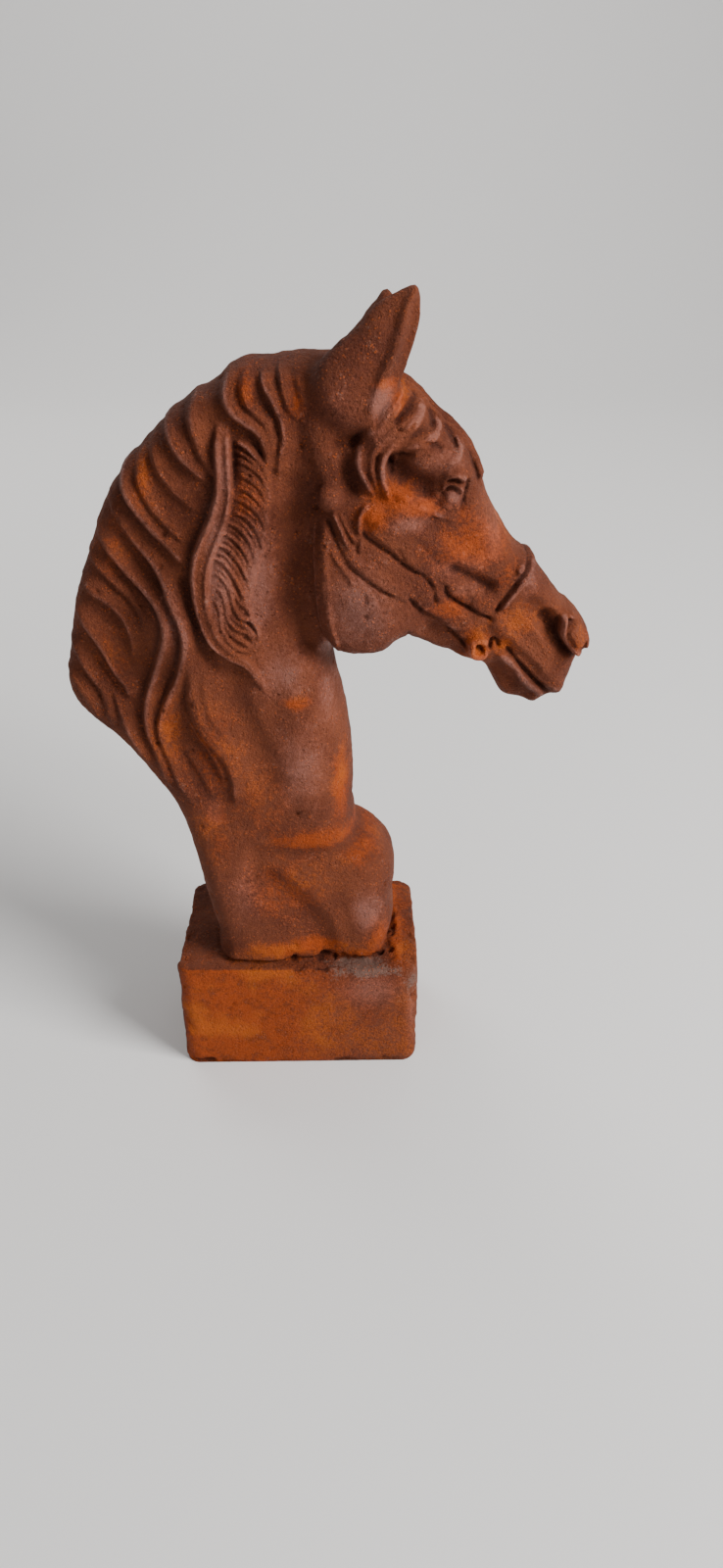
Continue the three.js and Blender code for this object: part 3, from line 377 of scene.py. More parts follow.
def plait_and_feather(plane):
    """The row of feathery ends on its bed, and the plait that they leave."""
    bed = plane.blank()
    lay(plane, bed, FEATHER_BED, [6, 8, 10, 11, 12, 12, 12, 10, 6], 2.2, "flat", 0.1)
    for i, path in enumerate(FEATHER):
        lay(plane, bed, path, [2.0, 2.6, 2.4, 1.7], [4.6, 5.8, 5.2, 3.2], "lock", 0.12)
        if i + 1 < len(FEATHER):
            lay(plane, bed, midway(path, FEATHER[i + 1]), 1.2, [3.0, 4.0, 3.6, 2.4], "round", 0.15)
    lay(plane, bed, PLAIT, PLAIT_HALF, [4.0, 4.4, 4.4, 4.2, 3.6, 2.4, 1.4], "flat", 0.08)
    for share, rise in ((-0.62, 1.0), (0.0, 0.78), (0.6, 0.98)):
        strand = beside(PLAIT, [share * half for half in PLAIT_HALF])
        heights = [rise * height for height in (5.8, 6.4, 6.6, 5.6, 4)]
        heights.append(2)
        lay(plane, bed, strand[::3], [1.7, 1.9, 2.2, 2.2, 1.6, 1.2, 0.8], heights, "round", 0.06)
    return bed


def carve_body(plane):
    """Relief of the neck and the breast."""
    ground = plane.blank()
    for path, half, height in BODY_FORMS:
        lay(plane, ground, path, half, height, "soft")
    hair = plane.blank()
    for path, half, height in MANE_LOCKS:
        lay(plane, hair, path, half, height, "lock", 0.10)
    return ground + np.maximum(hair + mane_strands(plane), plait_and_feather(plane))


# Broad forms of the face: path, half width and height, which is below 0 for a hollow.
FACE_FORMS = [
    ([(60, 359), (70, 360), (78, 357), (86, 351)], 10, 4.2),
    ([(53, 356), (57, 350), (63, 346)], 9, -5.2),
    ([(27, 364), (34, 367)], 8, -5),
    ([(28, 356), (31, 346)], 6, -4),
    ([(40, 335), (46, 332), (54, 336), (62, 334)], 7, 2.4),
    ([(48, 347), (56, 341.5), (64, 337), (72, 332)], 3.4, 1.6),
    ([(52, 331), (60, 325), (74, 316), (88, 308)], 7, 2.6),
    ([(80, 304), (88, 299), (97, 294)], 6, -3.8),
    ([(127, 275), (131, 269), (137, 260)], 7.5, -5),
    ([(119, 283), (130, 272)], 8, -3),
    ([(76, 343), (77, 341)], 7, -1.6),
    ([(86, 346), (84, 338)], 4.5, -1.6),
    ([(70, 334), (78, 330)], 3, 1.2),
    ([(66, 341), (71, 338)], 4, -1.6),
    ([(20, 312), (34, 292), (50, 280)], 16, 1.5),
    ([(103, 275), (112, 264), (122, 254), (132, 243), (137, 235)], 6, 2.2),
    ([(108, 264), (116, 256), (124, 248)], 4.5, -1.4),
    ([(108, 287), (118, 290)], 8, 1),
    ([(70, 272), (82, 260)], 8, -3.2),
    ([(104, 250), (112, 240), (120, 232)], 6, -2.2),
]

# Straps, lids, lips and the ring: path, half width, height and kind of stroke.
FACE_LINES = [
    ([(16, 334), (15.6, 318), (16, 302), (17, 286), (19.5, 270), (23, 256)], 4.2, 1.8, "flat"),
    ([(13.6, 334), (13, 318), (13.4, 302), (14.4, 284), (17, 268), (20, 256)], 1.3, 3, "round"),
    ([(19, 284), (21, 276), (24, 266)], 1.2, 2.4, "round"),
    ([(21.5, 336), (25, 329), (28, 322), (32, 317.5)], 1.2, 2.6, "round"),
    ([(24.8, 335), (28.8, 327.6), (33, 320.6)], 0.9, 2, "round"),
    ([(20, 320), (24, 313), (29, 306), (31, 301)], 0.9, 1.5, "round"),
    ([(39.5, 339.5), (35.4, 336.4), (34, 330), (35, 325)], 1.2, 3.4, "round"),
    ([(39, 332), (46, 326), (54, 319), (62, 312), (69, 306)], 5.2, 1.7, "flat"),
    ([(35, 324), (34.4, 317)], 1, 2, "round"),
    ([(24, 322), (31, 313.5), (39, 307), (48, 300), (56, 295), (62, 290)], 3.4, 1.5, "flat"),
    ([(72, 347), (74.6, 350.6), (79, 351.6), (83.6, 348.4)], 1.7, 2.4, "round"),
    ([(71.6, 342.6), (73.4, 346.4), (77, 347.4), (80.6, 345.2), (82, 341.6)], 1, 3, "round"),
    ([(76.4, 344.4), (76.6, 341), (76, 337.6)], [2.6, 3.4, 2.2], 2.6, "round"),
    ([(72.4, 340), (74.4, 335.8), (78, 334.6), (80.6, 336.6)], 1.1, 1.4, "round"),
    ([(103, 257.5), (109, 254), (114, 249), (117, 243.4), (122, 238), (126.6, 235), (130, 230)],
     [1.6, 2.6, 2.2, 2.8, 2.2, 2.6], [2, 3.4, 2.6, 3.6, 2.8], "round"),
    ([(112, 256.4), (118, 251), (124, 243.6), (130, 239), (135, 237)], 2.4, 1.6, "soft"),
    ([(138, 278), (136, 273), (136, 267.5), (139, 262), (143, 258), (148, 255)], 2.2, 5.2, "round"),
    ([(138, 277), (144, 274), (149.5, 267), (151.5, 259), (149, 255)], 2.2, 4.4, "round"),
    ([(141, 272), (144, 266), (147.5, 260)], 5.5, 4, "round"),
    ([(121.6, 305.6), (115, 297.6), (109, 289.5), (103.6, 281)], 1.7, 2.8, "round"),
    ([(112, 303.4), (114, 301)], 2.6, 3.2, "round"),
    ([(74, 302), (82, 296), (92, 288), (101, 280)], 6, 1.6, "flat"),
    ([(98.4, 262), (97, 265.4), (94, 266.4), (91, 264.8), (90.2, 261.4), (91.6, 258), (94.6, 257),
      (97.6, 258.8), (98.4, 262)], [2, 1.6, 2.2, 1.8, 2.2, 1.6], [2, 3.6, 2.4, 4.2, 3, 3.4, 2.2],
     "round"),
]

# Narrow cuts: path, half width and depth.
FACE_CUTS = [
    ([(34.4, 329), (36.4, 324.6), (41, 320.8), (48, 316), (53, 311.5), (58, 307.5), (64, 303.5),
      (69, 297), (71, 289)], 1.3, -2.4),
    ([(75.5, 297), (77, 291.5), (80, 288.5), (85, 285), (91, 281.5), (99, 276.5)], 1.4, -3),
    ([(58, 292), (61, 288.5), (65, 284), (70, 280.5), (76, 275), (83, 267), (88, 262)], 1.5, -2.8),
    ([(64.5, 289), (64, 284.5)], 1, -1.6),
    ([(88.3, 287), (88.6, 283)], 0.9, -1.6),
    ([(58, 273), (59, 267)], 1.2, -1.8),
    ([(118.6, 305.4), (112.6, 297.6), (106.8, 289.4), (101.6, 281)], 1.2, -2.6),
    ([(109, 259.5), (114, 252.5), (120, 246), (126, 239.5), (131, 234.5), (134, 232)],
     1.9, [-2.4, -3, -3, -2.4, -1]),
    ([(20, 331), (24, 320.5), (30, 310.5), (36, 305), (42, 300), (49, 295)], 1.4, -2),
    ([(36, 302), (41, 297), (44, 291)], 1.2, -1),
    ([(73, 348.4), (75.4, 349.4), (79, 349.2), (81.6, 346.8)], 0.9, -1.8),
    ([(83.8, 349), (83.2, 342), (81.6, 334.6)], 1.2, -2.4),
    ([(71.6, 346), (72, 342)], 1.3, -1.8),
    ([(99.6, 261), (100.6, 265.5), (103, 265), (104, 261.5)], 1.5, -3),
    ([(93.4, 262.8), (95, 261.6), (95.6, 259.6)], 1.8, -3.2),
    ([(134.5, 274), (133.5, 268), (136.5, 261.5), (141.5, 256.5), (146, 253)], 2.2, -3),
    ([(52, 318), (55, 313)], 1.3, -1.4),
    ([(18.2, 304), (18.4, 294)], 1, -1.2),
    ([(36.6, 296), (36.8, 292)], 1.6, -1.6),
    ([(51, 372.4), (54, 371.6), (56.4, 372.2), (58.8, 374.6)], 1, -2.2),
    ([(60.5, 385), (56.4, 380.6), (50.6, 375.4)], [2.4, 2.6, 1.6], -3.4),
    ([(51.6, 387), (46, 381), (41, 373.5)], [1.6, 2.2, 1.6], -3.4),
    ([(66.6, 380), (67.4, 376), (67.6, 371.6)], [1.6, 2.6, 1.4], -4),
    ([(73.6, 371.6), (76, 367.4), (78.6, 362.4)], [1.6, 2.6, 1.2], -4),
    ([(85.6, 358.5), (87.8, 352), (89.8, 346)], [1, 1.7, 1.4], -2.6),
    ([(63, 366.4), (67.6, 365.4), (71.2, 363)], [1.6, 2.2, 1], -2.2),
    ([(58, 361.6), (50, 360.4), (47.4, 356)], 1.5, -1.8),
    ([(53.4, 383.6), (55, 382.6)], 1.1, -2.2),
    ([(48.4, 358), (48.8, 352.6)], 1.4, -3),
    ([(31, 364.6), (33.4, 367)], 2.2, -4),
    ([(70.6, 363.6), (71.4, 363.2)], 0.9, -1.2),
]

# Locks of the forelock: crest, half width and height along it.
FORELOCK = [
    ([(56, 389), (50, 384), (44, 376), (38, 369), (34, 361), (34.4, 355), (38, 348), (41.5, 341)],
     [2, 2.4, 2.4, 2, 1.3], [2.4, 3.8, 4.4, 4, 2]),
    ([(54, 387), (50, 379), (46, 374), (41, 369), (37.5, 363), (37, 357), (39, 351)], [1.8, 2.2, 2, 1.3],
     [2, 3.4, 3.6, 1.8]),
    ([(59, 379), (53, 374.5), (47, 369.5), (42, 365), (39.6, 358), (41, 350), (43.6, 343.5)],
     [1.8, 2.4, 2.2, 1.8, 1.2], [2.4, 3.8, 4.2, 3.6, 1.6]),
    ([(58, 371), (52, 368), (47, 363), (44.4, 357), (44.6, 351), (46.4, 345), (48.4, 340)],
     [2, 2.4, 2.2, 1.8, 1.4], [2, 3.6, 4.4, 4, 2]),
    ([(57, 366), (51, 362.5), (50.4, 357)], [1.6, 1.8, 1.2], [1.6, 2.4, 1.4]),
    ([(64, 382.5), (61, 377), (56, 372.8), (50, 369.4), (45, 365), (42, 360)], [2.4, 3.4, 3, 2.4, 1.8],
     [3, 4.4, 4.2, 3.2, 2]),
    ([(71.5, 374.5), (69.6, 370), (64, 367.5), (57, 366), (50, 363)], [2, 2.8, 2.8, 1.8],
     [3, 4, 3.2, 1.8]),
    ([(79.5, 367.5), (80.6, 362.4), (78, 359), (73, 357.6)], [2, 2.8, 2.2, 1.6], [3.2, 3.8, 2.4, 1]),
    ([(80, 368), (86, 360.6), (90.6, 352.6), (92.6, 345)], [1.8, 2.4, 2.4, 1.6], [2, 3.6, 4.2, 3.8]),
]


def carve_head(plane):
    """Relief of the face, the bridle and the forelock."""
    relief = plane.blank()
    for path, half, height in FACE_FORMS:
        lay(plane, relief, path, half, height, "soft")
    # the bridle's cheek piece stands proud of the jaw behind it
    lay(plane, relief, [(62, 296), (68, 290), (76, 283), (90, 271)], [6, 7.5, 7.5, 5], 2.4, "flat", 0.2)
    lay(plane, relief, [(93.5, 271), (93, 262), (94, 252)], [5.5, 6, 5.5], [2.6, 3.4, 2.6], "round", 0.3)
    lines = plane.blank()
    for path, half, height, kind in FACE_LINES:
        lay(plane, lines, path, half, height, kind, 0.12)
    hair = plane.blank()
    for path, half, height in FORELOCK:
        lay(plane, hair, path, half, height, "round", 0.10)
    relief += lines + hair
    for path, half, height in FACE_CUTS:
        lay(plane, relief, path, half, height, "soft", 0.12)
    return relief


# The mesh: its cell size, the corners of the space that holds it and its triangles in the end.
GRID = 0.98
SPACE_LOW = (-124.0, -50.0, -3.0)
SPACE_HIGH = (156.0, 50.0, 437.0)
TRIANGLES = 194000

BLOCK_LENGTH, BLOCK_DEPTH, BLOCK_HEIGHT = 135.0, 86.0, 72.0
BLOCK_SKEW, BLOCK_CORNER, BLOCK_EDGE = 3.0, 9.0, 2.5
# How far the skin may stand out to the sides.
SIDE_LIMIT = 43.9
# Level at which the bust ends inside the block, and the depth of the crevice around its foot.
BUST_FOOT = 62.0
CREVICE = 1.3
# Ears: distance to the side where they start, lean, half thickness there and at the thinnest,
# and rounding.
EAR_SPREAD, EAR_LEAN = 21.0, 0.1
EAR_HALF, EAR_THINNEST, EAR_ROUNDING = 10.0, 2.6, 8.0
# Knob at the upper end of the jaw: x, distance to the side, z and radius.
KNOB = (20.5, 31.0, 341.5, 6.2)

PIT_COUNT, SEAM_PIT_COUNT = 380, 26

# The eight corners of a cell.
CORNERS = [np.array([i & 1, (i >> 1) & 1, i >> 2]) for i in range(8)]


def noise(points, size, seed):
    """Smooth random values from -1 to 1 that change over about this size."""
    count = 32
    table = np.random.default_rng(seed).uniform(-1, 1, (count, count, count))
    scaled = points / size
    cell = np.floor(scaled).astype(int)
    f = scaled - cell
    f = f * f * (3 - 2 * f)
    out = np.zeros(len(points))
    for corner in CORNERS:
        index = (cell + corner) % count
        weight = np.prod(np.where(corner, f, 1 - f), axis=1)
        out += weight * table[index[:, 0], index[:, 1], index[:, 2]]
    return out


def smooth_step(low, high, value):
    t = np.clip((value - low) / (high - low), 0, 1)
    return t * t * (3 - 2 * t)


def slab(distance, half, rounding, y):
    """Zero on the skin of a slab with rounded edges and negative inside."""
    out = np.clip(1 - distance / rounding, 0, None)
    level = (out**SECTION_POWER + (np.abs(y) / half) ** SECTION_POWER) ** (1 / SECTION_POWER)
    return (level - 1) * np.minimum(half, rounding)


def soft_union(a, b, softness):
    """Both fields in one, with a fillet where they meet."""
    mix = np.clip(softness - np.abs(a - b), 0, None)
    return np.minimum(a, b) - mix * mix / (4 * softness)


def rounded(a, b, radius):
    """Distance to the rounded edge between two faces."""
    return np.hypot(np.maximum(a, 0), np.maximum(b, 0)) + np.minimum(np.maximum(a, b), 0) - radius


def make_maps():
    """The outlines' distances, the thicknesses and the carving, as maps over the middle plane."""
    coarse, fine = Plane(2.0), Plane(MAP_STEP)

    def finely(values):
        return at(coarse, values, fine.x, fine.z)

    maps = {}
    for name, outline, form, reach, carve in (
        ("neck", NECK_OUTLINE, NECK_FORM, 19, carve_body),
        ("head", HEAD_OUTLINE, HEAD_FORM, 14, carve_head),
    ):
        maps[name + "_in"] = finely(inside_distance(coarse, outline))
        maps[name + "_half"] = finely(blend_sizes(coarse, form, 2, reach))
        maps[name + "_round"] = finely(blend_sizes(coarse, form, 3, reach))
        relief = soften(carve(fine), 1, 1)
        maps[name + "_near"] = relief
        maps[name + "_far"] = 0.85 * soften(relief, 2, 1)
    for name, outline in (("ear", NEAR_EAR_OUTLINE), ("far_ear", FAR_EAR_OUTLINE)):
        maps[name + "_in"] = finely(inside_distance(coarse, outline))
    forehead = smooth_step(343.5, 346.5, fine.z) * smooth_step(393, 386, fine.z)
    maps["fringe"] = forehead * smooth_step(48, 58, fine.x)
    ear = fine.blank()
    for path, half, height in EAR_FORMS:
        lay(fine, ear, path, half, height, "soft")
    maps["ear_relief"] = soften(ear, 1)
    return fine, maps


def sample_maps(fine, maps, x, z):
    """The maps' values at places on the skin. The maps end above the block's underside."""
    z = np.maximum(z, Z_LOW)
    return {name: at(fine, values, x, z) for name, values in maps.items()}


def bust_field(here, y, z):
    """Zero on the bust's skin and negative inside, from the maps' values at each place."""
    side = smooth_step(-6, 6, y)
    neck_relief = here["neck_near"] * (1 - side) + here["neck_far"] * side
    head_relief = here["head_near"] * (1 - side) + here["head_far"] * side
    # over the forehead the forelock's locks run down the middle
    middle = here["fringe"] * np.exp(-((y / 16) ** 4))
    locks = 2.0 + 3.0 * np.cos(0.75 * y + 1.4 * np.sin(z / 8))
    head_relief = head_relief * (1 - 0.85 * middle) + middle * locks
    neck = slab(here["neck_in"] + 0.5 * neck_relief, here["neck_half"] + neck_relief, here["neck_round"], y)
    head = slab(here["head_in"] + 0.4 * head_relief, here["head_half"] + head_relief, here["head_round"], y)
    lean = EAR_LEAN * (z - 390)
    half = np.maximum(EAR_THINNEST, EAR_HALF - 0.14 * (z - 385))
    half = half + np.maximum(here["ear_relief"], 1.5 - half)
    ear = slab(here["ear_in"], half, EAR_ROUNDING, y + EAR_SPREAD + lean)
    far_ear = slab(here["far_ear_in"], half, EAR_ROUNDING, y - EAR_SPREAD - lean)
    body = soft_union(neck, head, 3.0)
    return soft_union(body, np.minimum(ear, far_ear), 6.0)


def block_field(x, y, z):
    """Zero on the block's skin and negative inside."""
    skew = BLOCK_SKEW * np.clip(0.5 - y / BLOCK_DEPTH, 0, 1)
    half_length = BLOCK_LENGTH / 2 + skew / 2
    side_x = np.abs(x + skew / 2) - half_length + BLOCK_CORNER
    side_y = np.abs(y) - BLOCK_DEPTH / 2 + BLOCK_CORNER
    wall = rounded(side_x, side_y, BLOCK_CORNER) + BLOCK_EDGE
    level = np.abs(z - BLOCK_HEIGHT / 2) - BLOCK_HEIGHT / 2 + BLOCK_EDGE
    return rounded(wall, level, BLOCK_EDGE)


def whole_field(here, x, y, z):
    """Zero on the sculpture's skin and negative inside."""
    bust = np.maximum(bust_field(here, y, z), BUST_FOOT - z)
    knob_x, knob_y, knob_z, knob_radius = KNOB
    knob = np.sqrt((x - knob_x) ** 2 + (np.abs(y) - knob_y) ** 2 + (z - knob_z) ** 2) - knob_radius
    bust = soft_union(bust, knob, 1.6)
    crevice = np.exp(-(bust**2 + (z - BLOCK_HEIGHT - 0.6) ** 2) / (2 * CREVICE**2))
    return soft_union(bust, block_field(x, y, z), 1.5) + CREVICE * crevice


def cut_cells(inside):
    """The cells that the skin passes through, and the number of each."""
    first = inside[:-1, :-1, :-1]
    cut = np.zeros(first.shape, bool)
    for corner in CORNERS:
        cut |= inside[tuple(slice(d, d + n) for d, n in zip(corner, first.shape))] != first
    cells = np.argwhere(cut)
    number = np.full(cut.shape, -1, np.int64)
    number[cut] = np.arange(len(cells))
    return cells, number


def skin_vertices(field, cells):
    """The middle of the places where the skin crosses each cell's edges, in cells."""
    total = np.zeros((len(cells), 3))
    count = np.zeros(len(cells))
    for i, a in enumerate(CORNERS):
        for bit in (1, 2, 4):
            if i & bit:
                continue
            b = CORNERS[i | bit]
            at_a = field[tuple((cells + a).T)]
            at_b = field[tuple((cells + b).T)]
            cut = (at_a < 0) != (at_b < 0)
            t = np.where(cut, at_a / np.where(cut, at_a - at_b, 1), 0)
            total[cut] += (a + t[:, None] * (b - a))[cut]
            count += cut
    return cells + total / count[:, None]


def skin_faces(inside, number):
    """Four-sided faces, each around one edge of the grid that the skin crosses."""
    faces = []
    steps = np.eye(3, dtype=int)
    for axis in range(3):
        step_u, step_v = steps[(axis + 1) % 3], steps[(axis + 2) % 3]
        inner = [slice(1, -1)] * 3
        beyond = list(inner)
        beyond[axis] = slice(2, None)
        edge = np.argwhere(inside[tuple(inner)] != inside[tuple(beyond)]) + 1
        outward = inside[tuple(edge.T)]
        around = (step_u + step_v, step_v, 0 * step_u, step_u)
        quad = np.stack([number[tuple((edge - step).T)] for step in around], 1)
        faces.append(np.where(outward[:, None], quad, quad[:, ::-1]))
    return np.vstack(faces)


def make_skin(fine, maps):
    """A closed mesh around the field's inside: vertices in millimetres and four-sided faces."""
    xs, ys, zs = (np.arange(low, high, GRID) for low, high in zip(SPACE_LOW, SPACE_HIGH))
    gx, gz = np.meshgrid(xs, zs, indexing="ij")
    here = sample_maps(fine, maps, gx, gz)
    field = np.empty((len(xs), len(ys), len(zs)), np.float32)
    for j, y in enumerate(ys):
        field[:, j, :] = whole_field(here, gx, np.full(gx.shape, y), gz)
    inside = field < 0
    cells, number = cut_cells(inside)
    vertices = skin_vertices(field, cells) * GRID + np.array(SPACE_LOW)
    return vertices, skin_faces(inside, number)


def field_at(fine, maps, points):
    here = sample_maps(fine, maps, points[:, 0], points[:, 2])
    return whole_field(here, points[:, 0], points[:, 1], points[:, 2])


def slope_at(fine, maps, points, step=0.5):
    """The field's slope in x, y and z."""
    slope = np.empty(points.shape)
    for axis in range(3):
        d = np.zeros(3)
        d[axis] = step
        slope[:, axis] = (field_at(fine, maps, points + d) - field_at(fine, maps, points - d)) / (2 * step)
    return slope


def settle(fine, maps, points):
    """The points moved onto the skin itself, so that fine locks stay crisp, and its normals there."""
    for _ in range(2):
        slope = slope_at(fine, maps, points)
        move = -field_at(fine, maps, points) / np.maximum((slope * slope).sum(1), 0.2)
        points = points + np.clip(move[:, None] * slope, -0.45, 0.45)
    slope = slope_at(fine, maps, points)
    return points, slope / (np.linalg.norm(slope, axis=1)[:, None] + 1e-9)


def near_any(x, z, spots):
    """How much each place belongs to the soft spots (x, z, half length, half height, strength)."""
    out = np.zeros(x.shape)
    for sx, sz, lx, lz, strength in spots:
        out = np.maximum(out, strength * np.exp(-((x - sx) / lx) ** 2 - ((z - sz) / lz) ** 2))
    return out


# Soft spots of rust, of painted shade and of mauve wear with painted highlight: x, z, half length, half
# height, strength.
RUST_SPOTS = [
    (50, 342, 13, 8, 1), (40, 333, 8, 7, 1), (62, 337, 12, 5, 0.9), (52, 384, 6, 8, 0.8),
    (46, 392, 7, 3, 0.8), (-17, 388, 5, 10, 0.7), (6, 384, 5, 9, 0.6), (-66, 346, 6, 16, 0.55),
    (-84, 312, 12, 20, 0.35), (-90, 255, 12, 20, 0.35), (-18, 340, 10, 14, 0.45), (84, 330, 6, 8, 0.6),
    (93, 262, 8, 11, 1), (80, 285, 14, 7, 0.7), (112, 275, 16, 14, 0.5), (88, 316, 24, 15, 0.7),
    (106, 300, 9, 10, 0.5), (106, 262, 7, 6, 0.7), (145, 264, 7, 9, 0.5), (2, 236, 9, 4, 0.9),
    (24, 182, 5, 24, 0.95), (10, 153, 28, 7, 0.95), (36, 140, 14, 8, 0.6), (0, 82, 34, 7, 1),
    (44, 88, 8, 14, 0.8), (-42, 205, 16, 30, 0.5), (-66, 218, 10, 26, 0.5), (-44, 160, 12, 24, 0.45),
    (-6, 122, 26, 22, 0.5), (34, 77, 24, 6, 0.8), (57, 76, 8, 6, 1), (-20, 175, 26, 26, 0.35),
]
# painted shade on the cheek, the ear, the brow, the jaw, the poll, the mane's far edge and around the knob
PAINTED_SHADE_SPOTS = [
    (34, 282, 19, 26, 0.5), (48, 412, 9, 26, 0.35), (124, 238, 12, 7, 0.6), (56, 351, 6, 6, 0.5),
    (-90, 245, 14, 34, 0.4), (70, 262, 14, 8, 0.4), (12, 342, 5, 14, 0.45), (31, 349, 5, 9, 0.5),
    (22, 356, 10, 7, 0.35), (-16, 398, 20, 5, 0.3),
]
# mauve wear, with painted highlight on the knob and painted sheen on the cheek and the neck's front
MAUVE_WEAR_AND_HIGHLIGHT_SPOTS = [
    (20.5, 342, 6, 6, 0.35), (34, 288, 20, 26, 0.8), (58, 330, 12, 6, 0.7), (72, 358, 14, 9, 0.55),
    (98, 320, 7, 18, 0.6), (82, 306, 16, 8, 0.6), (28, 384, 14, 16, 0.35), (44, 385, 6, 9, 1.2),
    (46, 370, 12, 8, 0.5), (78, 341, 5, 6, 0.8), (-4, 252, 15, 18, 0.8), (4, 198, 15, 30, 0.75),
    (38, 106, 9, 15, 1), (-30, 120, 12, 26, 0.5), (116, 297, 7, 8, 0.7), (-28, 352, 5, 24, 0.8),
    (-57, 280, 8, 22, 0.6), (-32, 310, 8, 36, 1), (-14, 300, 9, 36, 0.85), (62, 338, 14, 7, 0.5),
    (18, 262, 6, 10, 0.8), (-44, 170, 6, 14, 0.5), (86, 294, 9, 6, 0.5), (18, 235, 8, 22, 0.6),
]


def paint(mesh, points, normal, hollow, rough):
    """Masks of the patina, of painted shade and of painted highlight, one value for each vertex."""
    x, y, z = points.T
    on_block = smooth_step(BLOCK_HEIGHT + 1.5, BLOCK_HEIGHT - 1, z)
    # seen from behind, the block's far side has its stains where the near side has them
    side = np.where(y < 0, x, -x)
    front = smooth_step(0.3, 0.8, np.abs(normal[:, 1]))
    rust = near_any(x, z, RUST_SPOTS) * (1 - on_block)
    rust += on_block * (0.3 + front * (0.1 + 0.55 * smooth_step(45, -35, side)))
    rust += on_block * (1 - front) * 0.25 * near_any(x, z, [(57, 72, 9, 9, 1)])
    mauve_wear_and_highlight = near_any(x, z, MAUVE_WEAR_AND_HIGHLIGHT_SPOTS) * (1 - on_block)
    # the carving's crests are painted lighter, as a painted highlight
    mauve_wear_and_highlight = np.maximum(mauve_wear_and_highlight, smooth_step(0.4, 1.8, -hollow) * 0.75 * (1 - on_block))
    mauve_wear_and_highlight += on_block * front * near_any(side, z, [(40, 56, 22, 16, 0.8), (66, 40, 6, 30, 0.7)])
    # painted shade: darker in the carving's hollows, in pits and chips, and in the spots of painted shade
    painted_shade = np.maximum(smooth_step(0.2, 2.0, hollow) * (1 - on_block), smooth_step(0.7, 2.0, -rough))
    painted_shade = np.maximum(painted_shade, near_any(x, z, PAINTED_SHADE_SPOTS))
    grey = on_block * near_any(x, z, [(36, 70, 20, 5, 1.0), (64, 62, 5, 12, 0.8)])
    grey = grey * smooth_step(-20, -38, y)
    masks = {"rust": rust, "mauve_wear_and_highlight": mauve_wear_and_highlight, "painted_shade": painted_shade, "grey": grey, "block": on_block}
    for name, values in masks.items():
        layer = mesh.attributes.new(name, "FLOAT", "POINT")
        layer.data.foreach_set("value", np.clip(values, 0, 1).astype(np.float32))


def edge_of_block(points):
    """How near each place is to an edge of the block, from 0 to 1."""
    x, y, z = points.T
    gaps = np.stack([
        BLOCK_LENGTH / 2 - np.abs(x + 0.8),
        BLOCK_DEPTH / 2 - np.abs(y),
        np.minimum(np.abs(BLOCK_HEIGHT - z), np.abs(z)),
    ])
    gaps.sort(axis=0)
    return np.exp(-((gaps[1] / 4.0) ** 2)) * smooth_step(BLOCK_HEIGHT + 4, BLOCK_HEIGHT + 1, z)


def chip_block(rough, points):
    """Chips along the block's edges, and wear along its lower ones."""
    edge = edge_of_block(points)
    rough -= edge * 3.0 * np.clip(noise(points, 7, 5) + 0.45 * noise(points, 3, 6) - 0.12, 0, 1)
    rough -= edge * 1.6 * smooth_step(8, 2, points[:, 2]) * np.clip(noise(points, 15, 8) + 0.2, 0, 1)


def add_mortar(rough, points, near_foot):
    """Mortar between the bust's foot and the block: crumbly to the front, and a lip to the back."""
    x, z = points[:, 0], points[:, 2]
    crumbly = smooth_step(-18, 2, x)
    rough += near_foot * crumbly * (1.5 * noise(points, 4.2, 12) + 0.9 * noise(points, 2.2, 13) - 0.3)
    lip = smooth_step(BLOCK_HEIGHT - 1, BLOCK_HEIGHT + 1.5, z)
    rough += near_foot * (1 - crumbly) * (0.9 + 0.7 * noise(points, 6, 14)) * lip


def add_crust(rough, points):
    """Crust on the block's top, in front of the breast."""
    x, y, z = points.T
    crust = np.exp(-((x - 55 - 4 * noise(points, 22, 15)) / 3.2) ** 2)
    crust = crust * smooth_step(BLOCK_HEIGHT - 1.5, BLOCK_HEIGHT - 0.2, z) * (z < BLOCK_HEIGHT + 2)
    rough += crust * (1.3 + 1.1 * noise(points, 4, 16)) * (np.abs(y) < 36)


def make_pits(rough, points, near_foot):
    """Air holes all over, and larger ones along the near side of the bust's foot."""
    dice = np.random.default_rng(11)
    pits = points[dice.choice(len(points), PIT_COUNT, replace=False)]
    sizes = dice.uniform(0.8, 1.5, PIT_COUNT) * dice.choice([1.0, 0.8, 1.3], PIT_COUNT)
    seam = points[(near_foot > 0.6) & (points[:, 0] > -12) & (points[:, 1] < 0)]
    pits = np.vstack([pits, seam[dice.choice(len(seam), SEAM_PIT_COUNT, replace=False)]])
    sizes = np.concatenate([sizes, dice.uniform(1.6, 3.0, SEAM_PIT_COUNT)])
    # the ears and the block's lower edge have none
    kept = (pits[:, 2] < 396) & (pits[:, 2] >= 6)
    for pit, size in zip(pits[kept], sizes[kept]):
        box = np.nonzero((np.abs(points - pit) < size).all(1))[0]
        d = np.linalg.norm(points[box] - pit, axis=1) / size
        rough[box] -= 0.8 * size * np.clip(1 - d * d, 0, 1)


